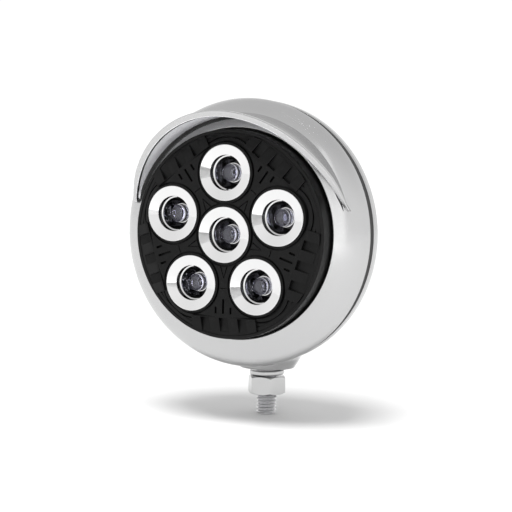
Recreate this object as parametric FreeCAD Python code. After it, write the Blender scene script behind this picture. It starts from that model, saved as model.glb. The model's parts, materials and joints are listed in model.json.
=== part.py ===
# Round auxiliary lamp with a visor, on one threaded stud.
# Frame: the origin is on the stud's axis, in the plane of the saddle's flat foot (the bracket seat).
# +Z is up, the lamp shines towards -Y and +X is to the right of someone facing the lamp.
# The lamp is turned about its own axis, which runs along Y. On that axis a point is given as (r, s):
# r is the distance from the axis, and s the depth behind the plane of the cup rims.
import FreeCAD, Part
import math
import os

# ---- cups and face
cup_r = 14.0                # outer radius of a cup's flared rim
cup_gap = 2.9               # between the centre cup's rim and the outer ones
cup_ring = 5                # outer cups round the centre one
cup_first_angle = 90.0
cup_rim_thick = 0.9
cup_overhang = 1.1          # flared rim past the cup's shank
cup_throat_r = 8.9
cup_throat_depth = 1.4
cup_neck_r = 6.0            # inner radius at the board
cup_bowl_bulge = 0.86       # bowl radius half way down, as a share of the throat
cup_wall = 1.0
cup_collar = 1.0            # width of the raised collar on the face round each cup
face_margin = 7.7           # outer cups' rims to the body's side wall
face_front = 1.2            # depth of the flat part of the face
face_thick = 3.4
face_slope = 11.4           # width of the sloped border, body wall included
face_edge = 4.6             # depth of the face at its outer edge
slot_width = 0.9
slot_depth = 1.8
slot_spacing = 4.2
slot_margin = 1.6           # slots' outer ends to the sloped border
long_slot = 7.4
short_slot = 3.4
pocket_width = 5.0
pocket_spacing = 10.4
pocket_margin = 3.2         # pockets' outer ends to the body's side wall
pocket_land = 0.4           # from the start of the slope
pocket_depth = 1.8
pillar_r = 3.0              # face plate pillars, one in each gap between outer cups
pillar_offset = 3.1         # pillars outside the ring of cup centres
pillar_root = 0.5           # face left in front of a pillar, behind the slots

# ---- lamp body
rim_front = 4.3             # depth of the body's front rim
rim_wall = 1.8
rim_round = 0.7
flange_width = 4.4
flange_thick = 2.8
floor_thick = 3.4
fin_count = 20
fin_thick = 2.0
fin_depth = 17.0
fin_inset = 1.4             # fins stop this far inside the side wall

# ---- bezel
bezel_width = 15.5          # front opening to the largest radius
bezel_front = 13.2          # depth of the opening's edge
bezel_back = 24.8           # depth of the back edge
bezel_wall = 1.6
lip_depth = 3.7             # opening's edge back to the seat of the lamp gasket
crown_bend = [(0.44, 0.23), (0.84, 0.58)]   # where the crown passes, as shares of its width and depth
gasket_thick = 1.2          # lamp gasket
gasket_width = 3.0

# ---- visor
visor_offset = 6.0          # inside of the visor's root, outside the bezel's opening
visor_taper = 0.03          # the inner radius lost for each mm forwards
visor_sheet = 1.8
visor_lip = 3.4             # radial width of the thickened front lip
visor_lip_depth = 2.6
visor_tip_angle = 12.5      # each tip, above the horizontal
visor_tip_depth = 14.0      # depth of the front edge where it is visor_tip_height above the axis
visor_tip_height = 14.3
visor_rake = 0.537          # forward reach gained for each mm of height
tab_angles = (30, 68, 112, 150)
tab_width = 8.0
tab_sheet = 1.2
tab_reach = 1.2             # tab showing inside the bezel

# ---- light engine
board_thick = 1.6
board_margin = 4.8          # LED board's edge to the inside of the body
pad_thick = 0.5
board_depth = 15.5          # front of the LED board
lens_r = 4.4
lens_front = 3.2            # depth of the lens tip
lens_shoulder = 6.4         # depth where the dome ends
lens_ring_r = 5.1           # the lens's seating ring
lens_ring_front = 9.8
lens_ring_back = 11.0
lens_bend = (0.72, 0.27)    # where the dome passes, as shares of its radius and depth
lens_well_r = 2.9
lens_well = 2.2
emitter_side = 3.5
emitter_thick = 0.8
emitter_dome_r = 1.3
board_screw_offset = 10.9   # board screws inside the ring of cup centres

# ---- driver and terminals
can_r = 22.0                # bore of the driver's can
can_wall = 2.0
can_depth = 19.0
standoff_r = 2.5
standoff_height = 5.0
standoff_pitch_r = 16.0
standoff_angles = (30, 150, 270)
driver_r = 20.0
driver_thick = 1.6
coil_r = 5.0
coil_height = 7.0
coil_flange = 1.5
coil_waist = 1.2            # how far the winding sits inside the flanges
coil_place = (-8.0, 0.0)
capacitor_r = 3.2
capacitor_height = 9.0
capacitor_places = ((6.0, 8.0), (6.0, -8.0))
chip_size = (6.0, 5.0)
chip_thick = 1.2
chip_place = (8.0, 0.0)
cover_thick = 2.5
post_r = 3.5
post_stem_r = 2.0
post_height = 5.5
post_spacing = 18.0
post_floor = 1.0            # solid brass left under a post's threaded hole
link_spacing = 5.0
link_pin_r = 0.6
link_pin_end = 1.2          # pin standing past each board
link_bush_r = 5.0
link_height = 11.0          # above the lamp axis
link_flange = 1.4

# ---- screws and the retaining ring
ring_thick = 1.2
ring_width = 4.6
ear_r = 3.3
ear_offset = 4.0            # ear screws outside the lamp's flange
ear_angles = (0, 90, 180, 270)
screw_r = 1.5               # M3
screw_head_r = 2.75
screw_head = 2.0
screw_slot = 0.8
screw_grip = 3.0            # thread in its boss
hole_spare = 1.0            # threaded hole past the screw's tip
boss_r = 3.2
housing_screw_inset = 5.0   # inside the bezel's largest radius
housing_screw_angles = (45, 135, 225, 315)

# ---- rear housing and its gasket
seal_thick = 6.6            # depth of the dark band between bezel and housing
seal_inset = 0.9            # band below the bezel's edge
seal_width = 8.0
rim_inset = 0.6             # housing's rim below the bezel's edge
housing_rim = 5.5
housing_rim_round = 2.0
housing_ledge = 7.8         # rim past the bucket
bucket_taper = 0.09         # radius lost for each mm back
bucket_depth = 46.6         # front of the rim to the back of the housing
housing_wall = 1.8
bucket_corner = 18.0
back_crown_r = 170.0
back_flat_r = 14.0
back_flat = 0.5             # the flat below the crown
grommet_hole_r = 7.0
grommet_lip_r = 9.5
grommet_lip = 2.0
grommet_bevel = 1.0
lead_r = 3.5                # bore for the lead

# ---- stud, saddles, washers and nut
rim_clearance = 4.7         # housing's rim above the bracket seat
stud_from_rim = 16.1        # stud axis behind the housing's rim
thread_r = 5.556            # 7/16 inch, at the crests
stud_length = 24.5          # below the bracket seat
stud_chamfer = 1.0
thread_groove = 0.7         # the one groove that parts the free end from the nut's stretch
thread_depth = 0.9
bolt_head_wall = 2.4        # hexagon's flats outside the thread
bolt_head = 7.0
foot_seat = 0.9             # saddle's flat seat outside the lock washer
foot_land = 5.5             # saddle's foot outside the lock washer
foot_dish = 0.7             # the foot's edge above its seat
foot_edge = 0.3
saddle_flare = [(2.8, 5.0), (4.2, 11.0)]    # widening past the foot, and the height where it is reached
saddle_spare = 4.0          # saddle blank above the housing's wall, before it is cut to the wall
inner_saddle_width = 6.4
inner_saddle_thick = 3.8
wave_width = 3.9
wave_thick = 1.0
wave_clearance = 0.5        # wave washer above the wall's slope behind the stud
washer_width = 3.4          # split lock washer
washer_slack = 0.344        # its bore outside the thread
washer_thick = 2.6
washer_lead = 1.2
washer_split = 12.0         # degrees of the gap
washer_turn = 116.5         # end of the gap, from +X
nut_wall = 3.55             # hexagon's flats outside the thread
nut_height = 9.5
nut_turn_angle = 6.5        # the first corner, from +X
nut_chamfer = 0.7

# ---- clearances
touch = 0.02                # fixed pieces that locate each other
slip = 0.2                  # loose fixed pieces
running = 0.05              # turning or sliding on the stud
rest_gap = 0.1              # faces of moving pieces that lie on each other
opening_gap = 0.8           # lamp body in the bezel's opening

# ---- sizes and places that follow from those above
cup_pitch_r = 2 * cup_r + cup_gap
cup_shank_r = cup_r - cup_overhang
cup_collar_r = cup_r + cup_collar
body_r = cup_pitch_r + cup_r + face_margin
body_bore_r = body_r - rim_wall
flange_r = body_r + flange_width
face_slope_r = body_r - face_slope
pocket_end = body_r - pocket_margin
pillar_pitch_r = cup_pitch_r + pillar_offset
board_screw_pitch_r = cup_pitch_r - board_screw_offset
board_r = body_bore_r - board_margin
opening_r = body_r + opening_gap
bezel_r = opening_r + bezel_width
visor_r = opening_r + visor_offset
seat_depth = bezel_front + lip_depth
seat_r = flange_r + slip
flange_front = seat_depth + gasket_thick
flange_back = flange_front + flange_thick
board_back = board_depth + board_thick
floor_front = board_back + pad_thick
floor_back = floor_front + floor_thick
driver_front = floor_back + standoff_height
driver_back = driver_front + driver_thick
can_back = floor_back + can_depth
ear_pitch_r = flange_r + ear_offset
housing_screw_pitch_r = bezel_r - housing_screw_inset
seal_r = bezel_r - seal_inset
housing_rim_r = bezel_r - rim_inset
bucket_r = housing_rim_r - housing_ledge
rim_start = bezel_back + seal_thick
rim_back = rim_start + housing_rim
housing_back = rim_start + bucket_depth
stud_setback = rim_back + stud_from_rim
axis_height = housing_rim_r + rim_clearance
wall_height = axis_height - bucket_r + bucket_taper * (stud_setback - rim_start) + housing_wall
washer_bore = thread_r + washer_slack
washer_r = washer_bore + washer_width
foot_r = washer_r + foot_land
foot_seat_r = washer_r + foot_seat
nut_flats = 2 * (thread_r + nut_wall)
nut_top = -(washer_thick + washer_lead + 2 * rest_gap)
nut_bottom = nut_top - nut_height
gap_angles = [cup_first_angle + (k + 0.5) * 360 / cup_ring for k in range(cup_ring)]
ear_places = [(ear_pitch_r, angle) for angle in ear_angles]
housing_places = [(housing_screw_pitch_r, angle) for angle in housing_screw_angles]
standoff_places = [(standoff_pitch_r, angle) for angle in standoff_angles]
pillar_places = [(pillar_pitch_r, angle) for angle in gap_angles]
board_screw_places = [(board_screw_pitch_r, angle) for angle in gap_angles]
link_places = (-link_spacing / 2, link_spacing / 2)
post_places = (-post_spacing / 2, post_spacing / 2)

axis_point = FreeCAD.Vector(0, 0, axis_height)
axis_way = FreeCAD.Vector(0, 1, 0)
up = FreeCAD.Vector(0, 0, 1)
middle = FreeCAD.Vector(0, 0, 0)


# ---- helpers

def place(x, s, height=0.0):
    """A point given by its offset from the lamp axis (x, height) and its depth s."""
    return FreeCAD.Vector(x, s - stud_setback, height + axis_height)


def polar(r, angle):
    """The offsets (x, height) of a point at radius r and angle round the lamp axis."""
    return r * math.cos(math.radians(angle)), r * math.sin(math.radians(angle))


def outline(runs):
    """A closed face from runs of points: two points make a line, more a smooth curve through them."""
    edges = []
    for run in runs:
        if len(run) == 2:
            edges.append(Part.makeLine(run[0], run[1]))
        else:
            curve = Part.BSplineCurve()
            curve.interpolate(run)
            edges.append(curve.toShape())
    return Part.Face(Part.Wire(edges))


def polygon(corners):
    return Part.Face(Part.makePolygon(corners + corners[:1]))


def lathe(runs, x=0.0, height=0.0):
    """Turn (r, s) runs about an axis parallel to the lamp axis, at offset (x, height)."""
    placed = [[place(x + r, s, height) for r, s in run] for run in runs]
    return outline(placed).revolve(place(x, 0.0, height), axis_way, 360)


def loop(points):
    """Straight runs that close on their first point."""
    return [[points[k - 1], points[k]] for k in range(len(points))]


def rod(r, s0, s1, x=0.0, height=0.0):
    """A round bar along the lamp axis."""
    return Part.makeCylinder(r, s1 - s0, place(x, s0, height), axis_way)


def tube(outer, inner, s0, s1, x=0.0, height=0.0):
    return rod(outer, s0, s1, x, height).cut(rod(inner, s0, s1, x, height))


def stud_rod(r, z0, z1):
    """A round bar along the stud."""
    return Part.makeCylinder(r, z1 - z0, FreeCAD.Vector(0, 0, z0), up)


def block(width, tall, s0, s1, x=0.0, height=0.0):
    """A bar of rectangular section along the lamp axis, its width along X."""
    return Part.makeBox(width, s1 - s0, tall, place(x - width / 2, s0, height - tall / 2))


def turned(shape, angle):
    """The shape turned about the lamp axis, from +X towards +Z."""
    shape.rotate(axis_point, axis_way, -angle)
    return shape


def hexagon(flats, z0, z1, angle=0.0):
    """A hexagonal prism on the stud's axis, with its first corner at angle."""
    reach = flats / math.sqrt(3)
    corners = []
    for k in range(6):
        x, y = polar(reach, angle + 60 * k)
        corners.append(FreeCAD.Vector(x, y, z0))
    return polygon(corners).extrude(up * (z1 - z0))


def circles(shape):
    """The circular edges of a turned shape."""
    whole = [edge for edge in shape.Edges if not edge.Degenerated]
    return [edge for edge in whole if isinstance(edge.Curve, Part.Circle)]


def joined(shapes):
    return shapes[0].multiFuse(shapes[1:]).removeSplitter()


def drilled(shape, r, s0, s1, places):
    """The shape with the same round hole along the lamp axis at several (radius, angle) places."""
    holes = [rod(r, s0, s1, *polar(*spot)) for spot in places]
    return shape.cut(Part.makeCompound(holes))


def at_places(places, maker):
    """The same piece at several (radius, angle) places."""
    return [maker(*polar(*spot)) for spot in places]


def cup_centres():
    ring = [polar(cup_pitch_r, cup_first_angle + k * 360 / cup_ring) for k in range(cup_ring)]
    return [(0.0, 0.0)] + ring


def screw(x, height, tip, seat):
    """A slotted cheese-head screw along the lamp axis, its head on the side away from the tip."""
    way = 1 if seat > tip else -1
    top = seat + way * screw_head
    slot_floor = top - way * screw_head / 2
    shank = rod(screw_r, min(tip, seat), max(tip, seat), x, height)
    head = rod(screw_head_r, min(seat, top), max(seat, top), x, height)
    slot = block(3 * screw_head_r, screw_slot, min(slot_floor, top), max(slot_floor, top), x, height)
    return shank.fuse(head).cut(slot).removeSplitter()


def screws(places, tip, seat):
    """A set of alike screws in one node."""
    return Part.makeCompound(at_places(places, lambda x, height: screw(x, height, tip, seat)))


# ---- bezel and visor

def crown_points():
    """The crown's curve from the opening's edge to the back edge."""
    deep = bezel_back - bezel_front
    bend = [(opening_r + u * bezel_width, bezel_front + v * deep) for u, v in crown_bend]
    return [(opening_r, bezel_front)] + bend + [(bezel_r, bezel_back)]


def crown_solid():
    """All the space inside the bezel's outer surface."""
    curve = crown_points()
    front = (0.0, bezel_front)
    back = (0.0, bezel_back)
    return lathe([[back, front], [front, curve[0]], curve, [curve[-1], back]])


def inside_of(run, wall):
    """The curve that lies a wall's thickness inside the crown, from the back edge to the gasket seat."""
    points = []
    for before, here, after in zip(run, run[1:], run[2:]):
        along = (after[0] - before[0], after[1] - before[1])
        size = math.hypot(*along)
        points.append((here[0] - wall * along[1] / size, here[1] + wall * along[0] / size))
    return [(bezel_r - wall, bezel_back)] + points[::-1] + [(seat_r, seat_depth)]


def tab(angle, margin=0.0):
    """One visor tab: a flat tongue through the bezel's wall."""
    width = tab_width + 2 * margin
    thick = tab_sheet + 2 * margin
    end = seat_depth + bezel_wall + tab_reach
    return turned(block(thick, width, bezel_front, end, x=visor_r + visor_sheet / 2), angle)


def bezel():
    curve = crown_points()
    inside = inside_of(curve, bezel_wall)
    lip_back = (opening_r, seat_depth)
    shell = lathe([curve, [curve[-1], inside[0]], inside, [inside[-1], lip_back], [lip_back, curve[0]]])
    bosses = at_places(housing_places, lambda x, height: rod(boss_r, bezel_front, bezel_back, x, height))
    bosses += at_places(ear_places, lambda x, height: rod(boss_r, bezel_front, flange_back, x, height))
    filled = crown_solid()
    whole = joined([shell] + [boss.common(filled) for boss in bosses])
    deep = screw_grip + hole_spare
    whole = drilled(whole, screw_r + touch, bezel_back - deep, bezel_back, housing_places)
    whole = drilled(whole, screw_r + touch, flange_back - screw_grip, flange_back, ear_places)
    for angle in tab_angles:
        whole = whole.cut(tab(angle, touch))
    return whole


def raked_space(depth):
    """All the space behind the visor's raked front plane, moved back by depth."""
    far = 2 * bezel_r
    low = visor_tip_depth + visor_rake * (visor_tip_height + far) + depth
    high = visor_tip_depth + visor_rake * (visor_tip_height - far) + depth
    corners = [place(-far, low, -far), place(-far, high, far), place(-far, low, far)]
    return polygon(corners).extrude(FreeCAD.Vector(2 * far, 0, 0))


def visor_shell(thick):
    """A tapered tube of the visor's inner radius, cut to the sector between the tips."""
    front = visor_tip_depth - visor_rake * bezel_r
    front_r = visor_r - visor_taper * (bezel_back - front)
    shell = lathe(loop([
        (visor_r, bezel_back),
        (visor_r + thick, bezel_back),
        (front_r + thick, front),
        (front_r, front),
    ]))
    far = 2 * bezel_r
    tip_x, tip_height = polar(far, visor_tip_angle)
    corners = [
        place(0, front),
        place(tip_x, front, tip_height),
        place(tip_x, front, far),
        place(-tip_x, front, far),
        place(-tip_x, front, tip_height),
    ]
    return shell.common(polygon(corners).extrude(axis_way * far))


def visor():
    sheet = visor_shell(visor_sheet).common(raked_space(0.0))
    lip = visor_shell(visor_lip).common(raked_space(0.0)).cut(raked_space(visor_lip_depth))
    body = joined([sheet, lip]).cut(crown_solid())
    return joined([body] + [tab(angle) for angle in tab_angles])


# ---- lamp unit

def lamp_gasket():
    inner = opening_r + slip
    return tube(inner + gasket_width, inner, seat_depth, flange_front)


def body_shell():
    """The lamp body's turned shape: rim, side wall, flange and floor, with the driver's can behind."""
    skirt_back = floor_back + fin_thick
    can_outer_r = can_r + can_wall
    return lathe(loop([
        (0.0, floor_front),
        (body_bore_r, floor_front),
        (body_bore_r, rim_front),
        (body_r - rim_round, rim_front),
        (body_r, rim_front + rim_round),
        (body_r, flange_front),
        (flange_r, flange_front),
        (flange_r, flange_back),
        (body_r, flange_back),
        (body_r, skirt_back),
        (body_bore_r, skirt_back),
        (body_bore_r, floor_back),
        (can_outer_r, floor_back),
        (can_outer_r, can_back),
        (can_r, can_back),
        (can_r, floor_back),
        (0.0, floor_back),
    ]))


def fin(index):
    start = can_r + can_wall / 2
    length = body_r - fin_inset - start
    bar = block(length, fin_thick, floor_back - touch, floor_back + fin_depth, x=start + length / 2)
    return turned(bar, (index + 0.5) * 360 / fin_count)


def lamp_body():
    fins = [fin(k) for k in range(fin_count)]
    standoffs = at_places(
        standoff_places, lambda x, height: rod(standoff_r, floor_back - touch, driver_front, x, height)
    )
    whole = joined([body_shell()] + fins + standoffs)
    thread_start = driver_front - screw_grip - hole_spare
    whole = drilled(whole, screw_r + touch, thread_start, driver_front, standoff_places)
    whole = drilled(whole, screw_r + slip, floor_front, floor_back, pillar_places)
    whole = drilled(whole, screw_r + touch, floor_front, floor_back - hole_spare, board_screw_places)
    return whole.cut(rod(link_bush_r + touch, floor_front, floor_back, 0.0, link_height))


def face_blank():
    edge_r = body_bore_r - touch
    return lathe(loop([
        (0.0, face_front),
        (face_slope_r, face_front),
        (edge_r, face_edge),
        (edge_r, face_edge + face_thick),
        (face_slope_r, face_front + face_thick),
        (0.0, face_front + face_thick),
    ]))


def gap_cuts(angle):
    """The slots and pockets of one gap between two outer cups."""
    cuts = []
    slot_floor = face_front + slot_depth
    pocket_floor = face_front + pocket_depth
    pocket_start = face_slope_r + pocket_land
    pocket = pocket_end - pocket_start
    for step in (-1, 0, 1):
        length = short_slot if step else long_slot
        centre = face_slope_r - slot_margin - length / 2
        cuts.append(block(length, slot_width, 0.0, slot_floor, centre, step * slot_spacing))
        centre = pocket_start + pocket / 2
        cuts.append(block(pocket, pocket_width, 0.0, pocket_floor, centre, step * pocket_spacing))
    return [turned(bar, angle) for bar in cuts]


def face_plate():
    face_back = face_front + face_thick
    pillar_front = face_front + slot_depth + pillar_root
    collars = [rod(cup_collar_r, cup_rim_thick, face_back, *centre) for centre in cup_centres()]
    pillars = at_places(pillar_places, lambda x, height: rod(pillar_r, pillar_front, floor_front, x, height))
    whole = joined([face_blank()] + collars + pillars)
    bores = [rod(cup_shank_r + touch, 0.0, face_edge + face_thick, *centre) for centre in cup_centres()]
    whole = whole.cut(Part.makeCompound(bores))
    thread_start = floor_front - screw_grip - hole_spare
    whole = drilled(whole, screw_r + touch, thread_start, floor_front, pillar_places)
    cuts = []
    for angle in gap_angles:
        cuts += gap_cuts(angle)
    return whole.cut(Part.makeCompound(cuts))


def face_screws():
    return screws(pillar_places, floor_front - screw_grip, floor_back)


def reflector(x, height):
    """A flared chrome rim, then a deep bowl down to the board."""
    throat = (cup_throat_r, cup_throat_depth)
    rim = (cup_r, 0.0)
    rim_under = (cup_r, cup_rim_thick)
    shank_top = (cup_shank_r, cup_rim_thick)
    shank_end = (cup_shank_r, cup_throat_depth)
    shell_top = (cup_throat_r + cup_wall, cup_throat_depth + 2 * cup_wall)
    bowl_mid = (cup_bowl_bulge * cup_throat_r, (cup_throat_depth + board_depth) / 2)
    shell_mid = (bowl_mid[0] + cup_wall, bowl_mid[1])
    foot_in = (cup_neck_r, board_depth)
    foot_out = (cup_neck_r + cup_wall, board_depth)
    runs = [
        [throat, rim],
        [rim, rim_under],
        [rim_under, shank_top],
        [shank_top, shank_end],
        [shank_end, shell_top],
        [shell_top, shell_mid, foot_out],
        [foot_out, foot_in],
        [foot_in, bowl_mid, throat],
    ]
    return lathe(runs, x, height)


def lens(x, height):
    """A clear bullet lens with a seating ring, and a well for the emitter."""
    tip = (0.0, lens_front)
    bend = (lens_bend[0] * lens_r, lens_front + lens_bend[1] * (lens_shoulder - lens_front))
    shoulder = (lens_r, lens_shoulder)
    ring_corners = [
        (lens_r, lens_ring_front),
        (lens_ring_r, lens_ring_front),
        (lens_ring_r, lens_ring_back),
        (lens_r, lens_ring_back),
    ]
    foot = (lens_r, board_depth)
    well_foot = (lens_well_r, board_depth)
    well_top = (lens_well_r, board_depth - lens_well)
    well_middle = (0.0, board_depth - lens_well)
    runs = [[tip, bend, shoulder]]
    corners = [shoulder] + ring_corners + [foot, well_foot, well_top, well_middle, tip]
    runs += [[start, end] for start, end in zip(corners, corners[1:])]
    return lathe(runs, x, height)


def led(x, height):
    """A square emitter with a small dome."""
    front = board_depth - emitter_thick
    base = block(emitter_side, emitter_side, front, board_depth, x, height)
    dome = Part.makeSphere(emitter_dome_r, place(x, front, height))
    half = rod(emitter_dome_r, front - emitter_dome_r, board_depth - touch, x, height)
    return base.fuse(dome.common(half))


def engine_layer(front, back):
    """A disc of the LED board's outline, with the holes for what passes through it."""
    layer = drilled(rod(board_r, front, back), pillar_r + slip, front, back, pillar_places)
    return drilled(layer, screw_r + slip, front, back, board_screw_places)


def pin_holes(shape, front, back):
    holes = [rod(link_pin_r + touch, front, back, x, link_height) for x in link_places]
    return shape.cut(Part.makeCompound(holes))


def led_board():
    return pin_holes(engine_layer(board_depth, board_back), board_depth, board_back)


def thermal_pad():
    bush_hole = rod(link_bush_r, board_back, floor_front, 0.0, link_height)
    return engine_layer(board_back, floor_front).cut(bush_hole)


def board_screws():
    return screws(board_screw_places, floor_front + screw_grip - hole_spare, board_depth)


def link_pins():
    front = board_depth - link_pin_end
    back = driver_back + link_pin_end
    return Part.makeCompound([rod(link_pin_r, front, back, x, link_height) for x in link_places])


def link_bush():
    back = floor_back + link_flange
    shank = rod(link_bush_r, floor_front, floor_back, 0.0, link_height)
    collar = rod(link_bush_r + link_flange, floor_back, back, 0.0, link_height)
    return pin_holes(shank.fuse(collar).removeSplitter(), floor_front, back)


# ---- driver and terminals

def driver_board():
    board = rod(driver_r, driver_front, driver_back)
    board = drilled(board, screw_r + slip, driver_front, driver_back, standoff_places)
    return pin_holes(board, driver_front, driver_back)


def driver_screws():
    return screws(standoff_places, driver_front - screw_grip, driver_back)


def driver_inductor():
    end = driver_back + coil_height
    waist_r = coil_r - coil_waist
    drum = rod(coil_r, driver_back, end, *coil_place)
    return drum.cut(tube(coil_r, waist_r, driver_back + coil_flange, end - coil_flange, *coil_place))


def driver_capacitors():
    end = driver_back + capacitor_height
    return Part.makeCompound([rod(capacitor_r, driver_back, end, *spot) for spot in capacitor_places])


def driver_chip():
    return block(*chip_size, driver_back, driver_back + chip_thick, *chip_place)


def driver_cover():
    front = can_back - cover_thick
    disc = rod(can_r - touch, front, can_back)
    for x in post_places:
        disc = disc.cut(rod(post_stem_r + touch, front, can_back, x))
    return disc


def terminal_posts():
    posts = []
    end = can_back + post_height
    for x in post_places:
        stem = rod(post_stem_r, can_back - cover_thick, can_back + post_floor, x)
        post = stem.fuse(rod(post_r, can_back, end, x)).removeSplitter()
        posts.append(post.cut(rod(screw_r + touch, can_back + post_floor, end, x)))
    return Part.makeCompound(posts)


def terminal_screws():
    seat = can_back + post_height
    return Part.makeCompound([screw(x, 0.0, seat - screw_grip, seat) for x in post_places])


# ---- retaining ring, housing and seal

def retaining_ring():
    back = flange_back + ring_thick
    outer = flange_r + slip
    pieces = [rod(outer, flange_back, back)]
    for spot in ear_places:
        reach = ear_offset + ring_width / 2
        ear = block(reach, 2 * ear_r, flange_back, back, x=ear_pitch_r - reach / 2)
        pieces.append(turned(ear, spot[1]))
        pieces.append(rod(ear_r, flange_back, back, *polar(*spot)))
    whole = joined(pieces).cut(rod(outer - ring_width, flange_back, back))
    return drilled(whole, screw_r + slip, flange_back, back, ear_places)


def retaining_screws():
    seat = flange_back + ring_thick
    return screws(ear_places, seat - screw_grip, seat)


def housing_gasket():
    band = tube(seal_r, seal_r - seal_width, bezel_back, rim_start)
    return drilled(band, screw_r + slip, bezel_back, rim_start, housing_places)


def is_corner(edge, r, s):
    """True for the full circle of radius r at depth s."""
    same_r = abs(edge.Curve.Radius - r) < touch
    return same_r and abs(edge.Curve.Center.y - (s - stud_setback)) < touch


def crown_drop(dome_r, r):
    """How far a dome of radius dome_r falls away at radius r from its middle."""
    return dome_r - math.sqrt(dome_r ** 2 - r ** 2)


def bucket(inset):
    """The bucket's solid shape, moved inwards by inset."""
    side_r = bucket_r - inset
    back = housing_back - inset
    end_r = side_r - bucket_taper * (back - rim_start)
    dome_r = back_crown_r - inset
    end_s = back - crown_drop(dome_r, end_r)
    half = place(end_r / 2, back - crown_drop(dome_r, end_r / 2))
    arc = Part.Arc(place(0.0, back), half, place(end_r, end_s)).toShape()
    corners = [place(end_r, end_s), place(side_r, rim_start), place(0.0, rim_start), place(0.0, back)]
    straight = [Part.makeLine(start, end) for start, end in zip(corners, corners[1:])]
    solid = Part.Face(Part.Wire([arc] + straight)).revolve(axis_point, axis_way, 360)
    corner = [edge for edge in circles(solid) if is_corner(edge, end_r, end_s)]
    return solid.makeFillet(bucket_corner - inset, corner)


def housing_outer():
    rim = rod(housing_rim_r, rim_start, rim_back)
    rim = rim.makeFillet(housing_rim_round, circles(rim))
    return rim.fuse(bucket(0.0)).removeSplitter()


def rear_housing():
    flat_back = housing_back - back_flat
    flat_front = flat_back - housing_wall
    whole = housing_outer().cut(bucket(housing_wall))
    whole = whole.cut(rod(back_flat_r, flat_back, housing_back))
    whole = whole.fuse(rod(back_flat_r, flat_front, flat_back)).removeSplitter()
    whole = whole.cut(rod(grommet_hole_r, flat_front, flat_back))
    whole = drilled(whole, screw_r + slip, rim_start, rim_back, housing_places)
    return whole.cut(stud_rod(thread_r + slip, 0.0, inner_saddle_top))


def housing_screws():
    return screws(housing_places, bezel_back - screw_grip, rim_back)


def rear_grommet():
    outside = housing_back - back_flat
    inside = outside - housing_wall
    return lathe(loop([
        (lead_r, inside - grommet_lip),
        (grommet_lip_r, inside - grommet_lip),
        (grommet_lip_r, inside),
        (grommet_hole_r, inside),
        (grommet_hole_r, outside),
        (grommet_lip_r, outside),
        (grommet_lip_r - grommet_bevel, outside + grommet_lip),
        (lead_r, outside + grommet_lip),
    ]))


# ---- heights that rest on the bucket's shape

def wall_reach():
    """How high the housing's wall comes under the wave washer."""
    post = stud_rod(thread_r + wave_width + slip, 0.0, axis_height)
    return post.cut(bucket(housing_wall)).optimalBoundingBox().ZMax


inner_saddle_top = max(wall_height + inner_saddle_thick, wall_reach() + wave_clearance)
bolt_seat = inner_saddle_top + rest_gap + wave_thick


# ---- stud and its hardware

def lowest(shape):
    """The solid of a cut shape that holds the foot."""
    return min(shape.Solids, key=lambda solid: solid.CenterOfMass.z)


def pedestal_saddle():
    bore = thread_r + running
    top = wall_height + saddle_spare
    points = [(bore, 0.0), (foot_seat_r, 0.0)]
    points += [(foot_r - foot_edge, foot_dish), (foot_r, foot_dish + foot_edge)]
    points += [(foot_r + wider, z) for wider, z in saddle_flare]
    points += [(foot_r + saddle_flare[-1][0], top), (bore, top)]
    corners = [FreeCAD.Vector(r, 0, z) for r, z in points]
    blank = polygon(corners).revolve(middle, up, 360)
    cut = blank.cut(housing_outer()).cut(rod(bezel_r, 0.0, rim_start))
    return lowest(cut)


def inner_saddle():
    post = stud_rod(thread_r + inner_saddle_width, 0.0, inner_saddle_top).common(bucket(housing_wall))
    return post.cut(stud_rod(thread_r + slip, 0.0, inner_saddle_top))


def wave_washer():
    base = inner_saddle_top + rest_gap
    ring = stud_rod(thread_r + wave_width, base, bolt_seat)
    return ring.cut(stud_rod(thread_r + touch, base, bolt_seat))


def mount_bolt():
    shank = stud_rod(thread_r, -stud_length, bolt_seat)
    tip = [edge for edge in circles(shank) if edge.Curve.Center.z < 0]
    shank = shank.makeChamfer(stud_chamfer, tip)
    top = nut_bottom - rest_gap
    groove = stud_rod(thread_r, top - thread_groove, top)
    groove = groove.cut(stud_rod(thread_r - thread_depth, top - thread_groove, top))
    head = hexagon(2 * (thread_r + bolt_head_wall), bolt_seat, bolt_seat + bolt_head)
    return shank.cut(groove).fuse(head).removeSplitter()


def lock_washer():
    """One turn of square wire that rises by washer_lead between its ends."""
    share = (360 - washer_split) / 360
    start = -(rest_gap + washer_lead + washer_thick / 2)
    helix = Part.makeHelix(washer_lead / share, washer_lead, (washer_r + washer_bore) / 2)
    helix.translate(up * start)
    low = start - washer_thick / 2
    high = start + washer_thick / 2
    section = [(washer_bore, low), (washer_r, low), (washer_r, high), (washer_bore, high)]
    corners = [FreeCAD.Vector(r, 0, z) for r, z in section]
    wire = Part.makePolygon(corners + corners[:1])
    coil = Part.Wire(helix.Edges).makePipeShell([wire], True, True)
    coil.rotate(middle, up, washer_turn)
    return coil


def hex_nut():
    body = hexagon(nut_flats, nut_bottom, nut_top, nut_turn_angle)
    blank = stud_rod(nut_flats / math.sqrt(3), nut_bottom, nut_top)
    blank = blank.makeChamfer(nut_chamfer, circles(blank))
    return body.common(blank).cut(stud_rod(thread_r + running, nut_bottom, nut_top))


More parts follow.
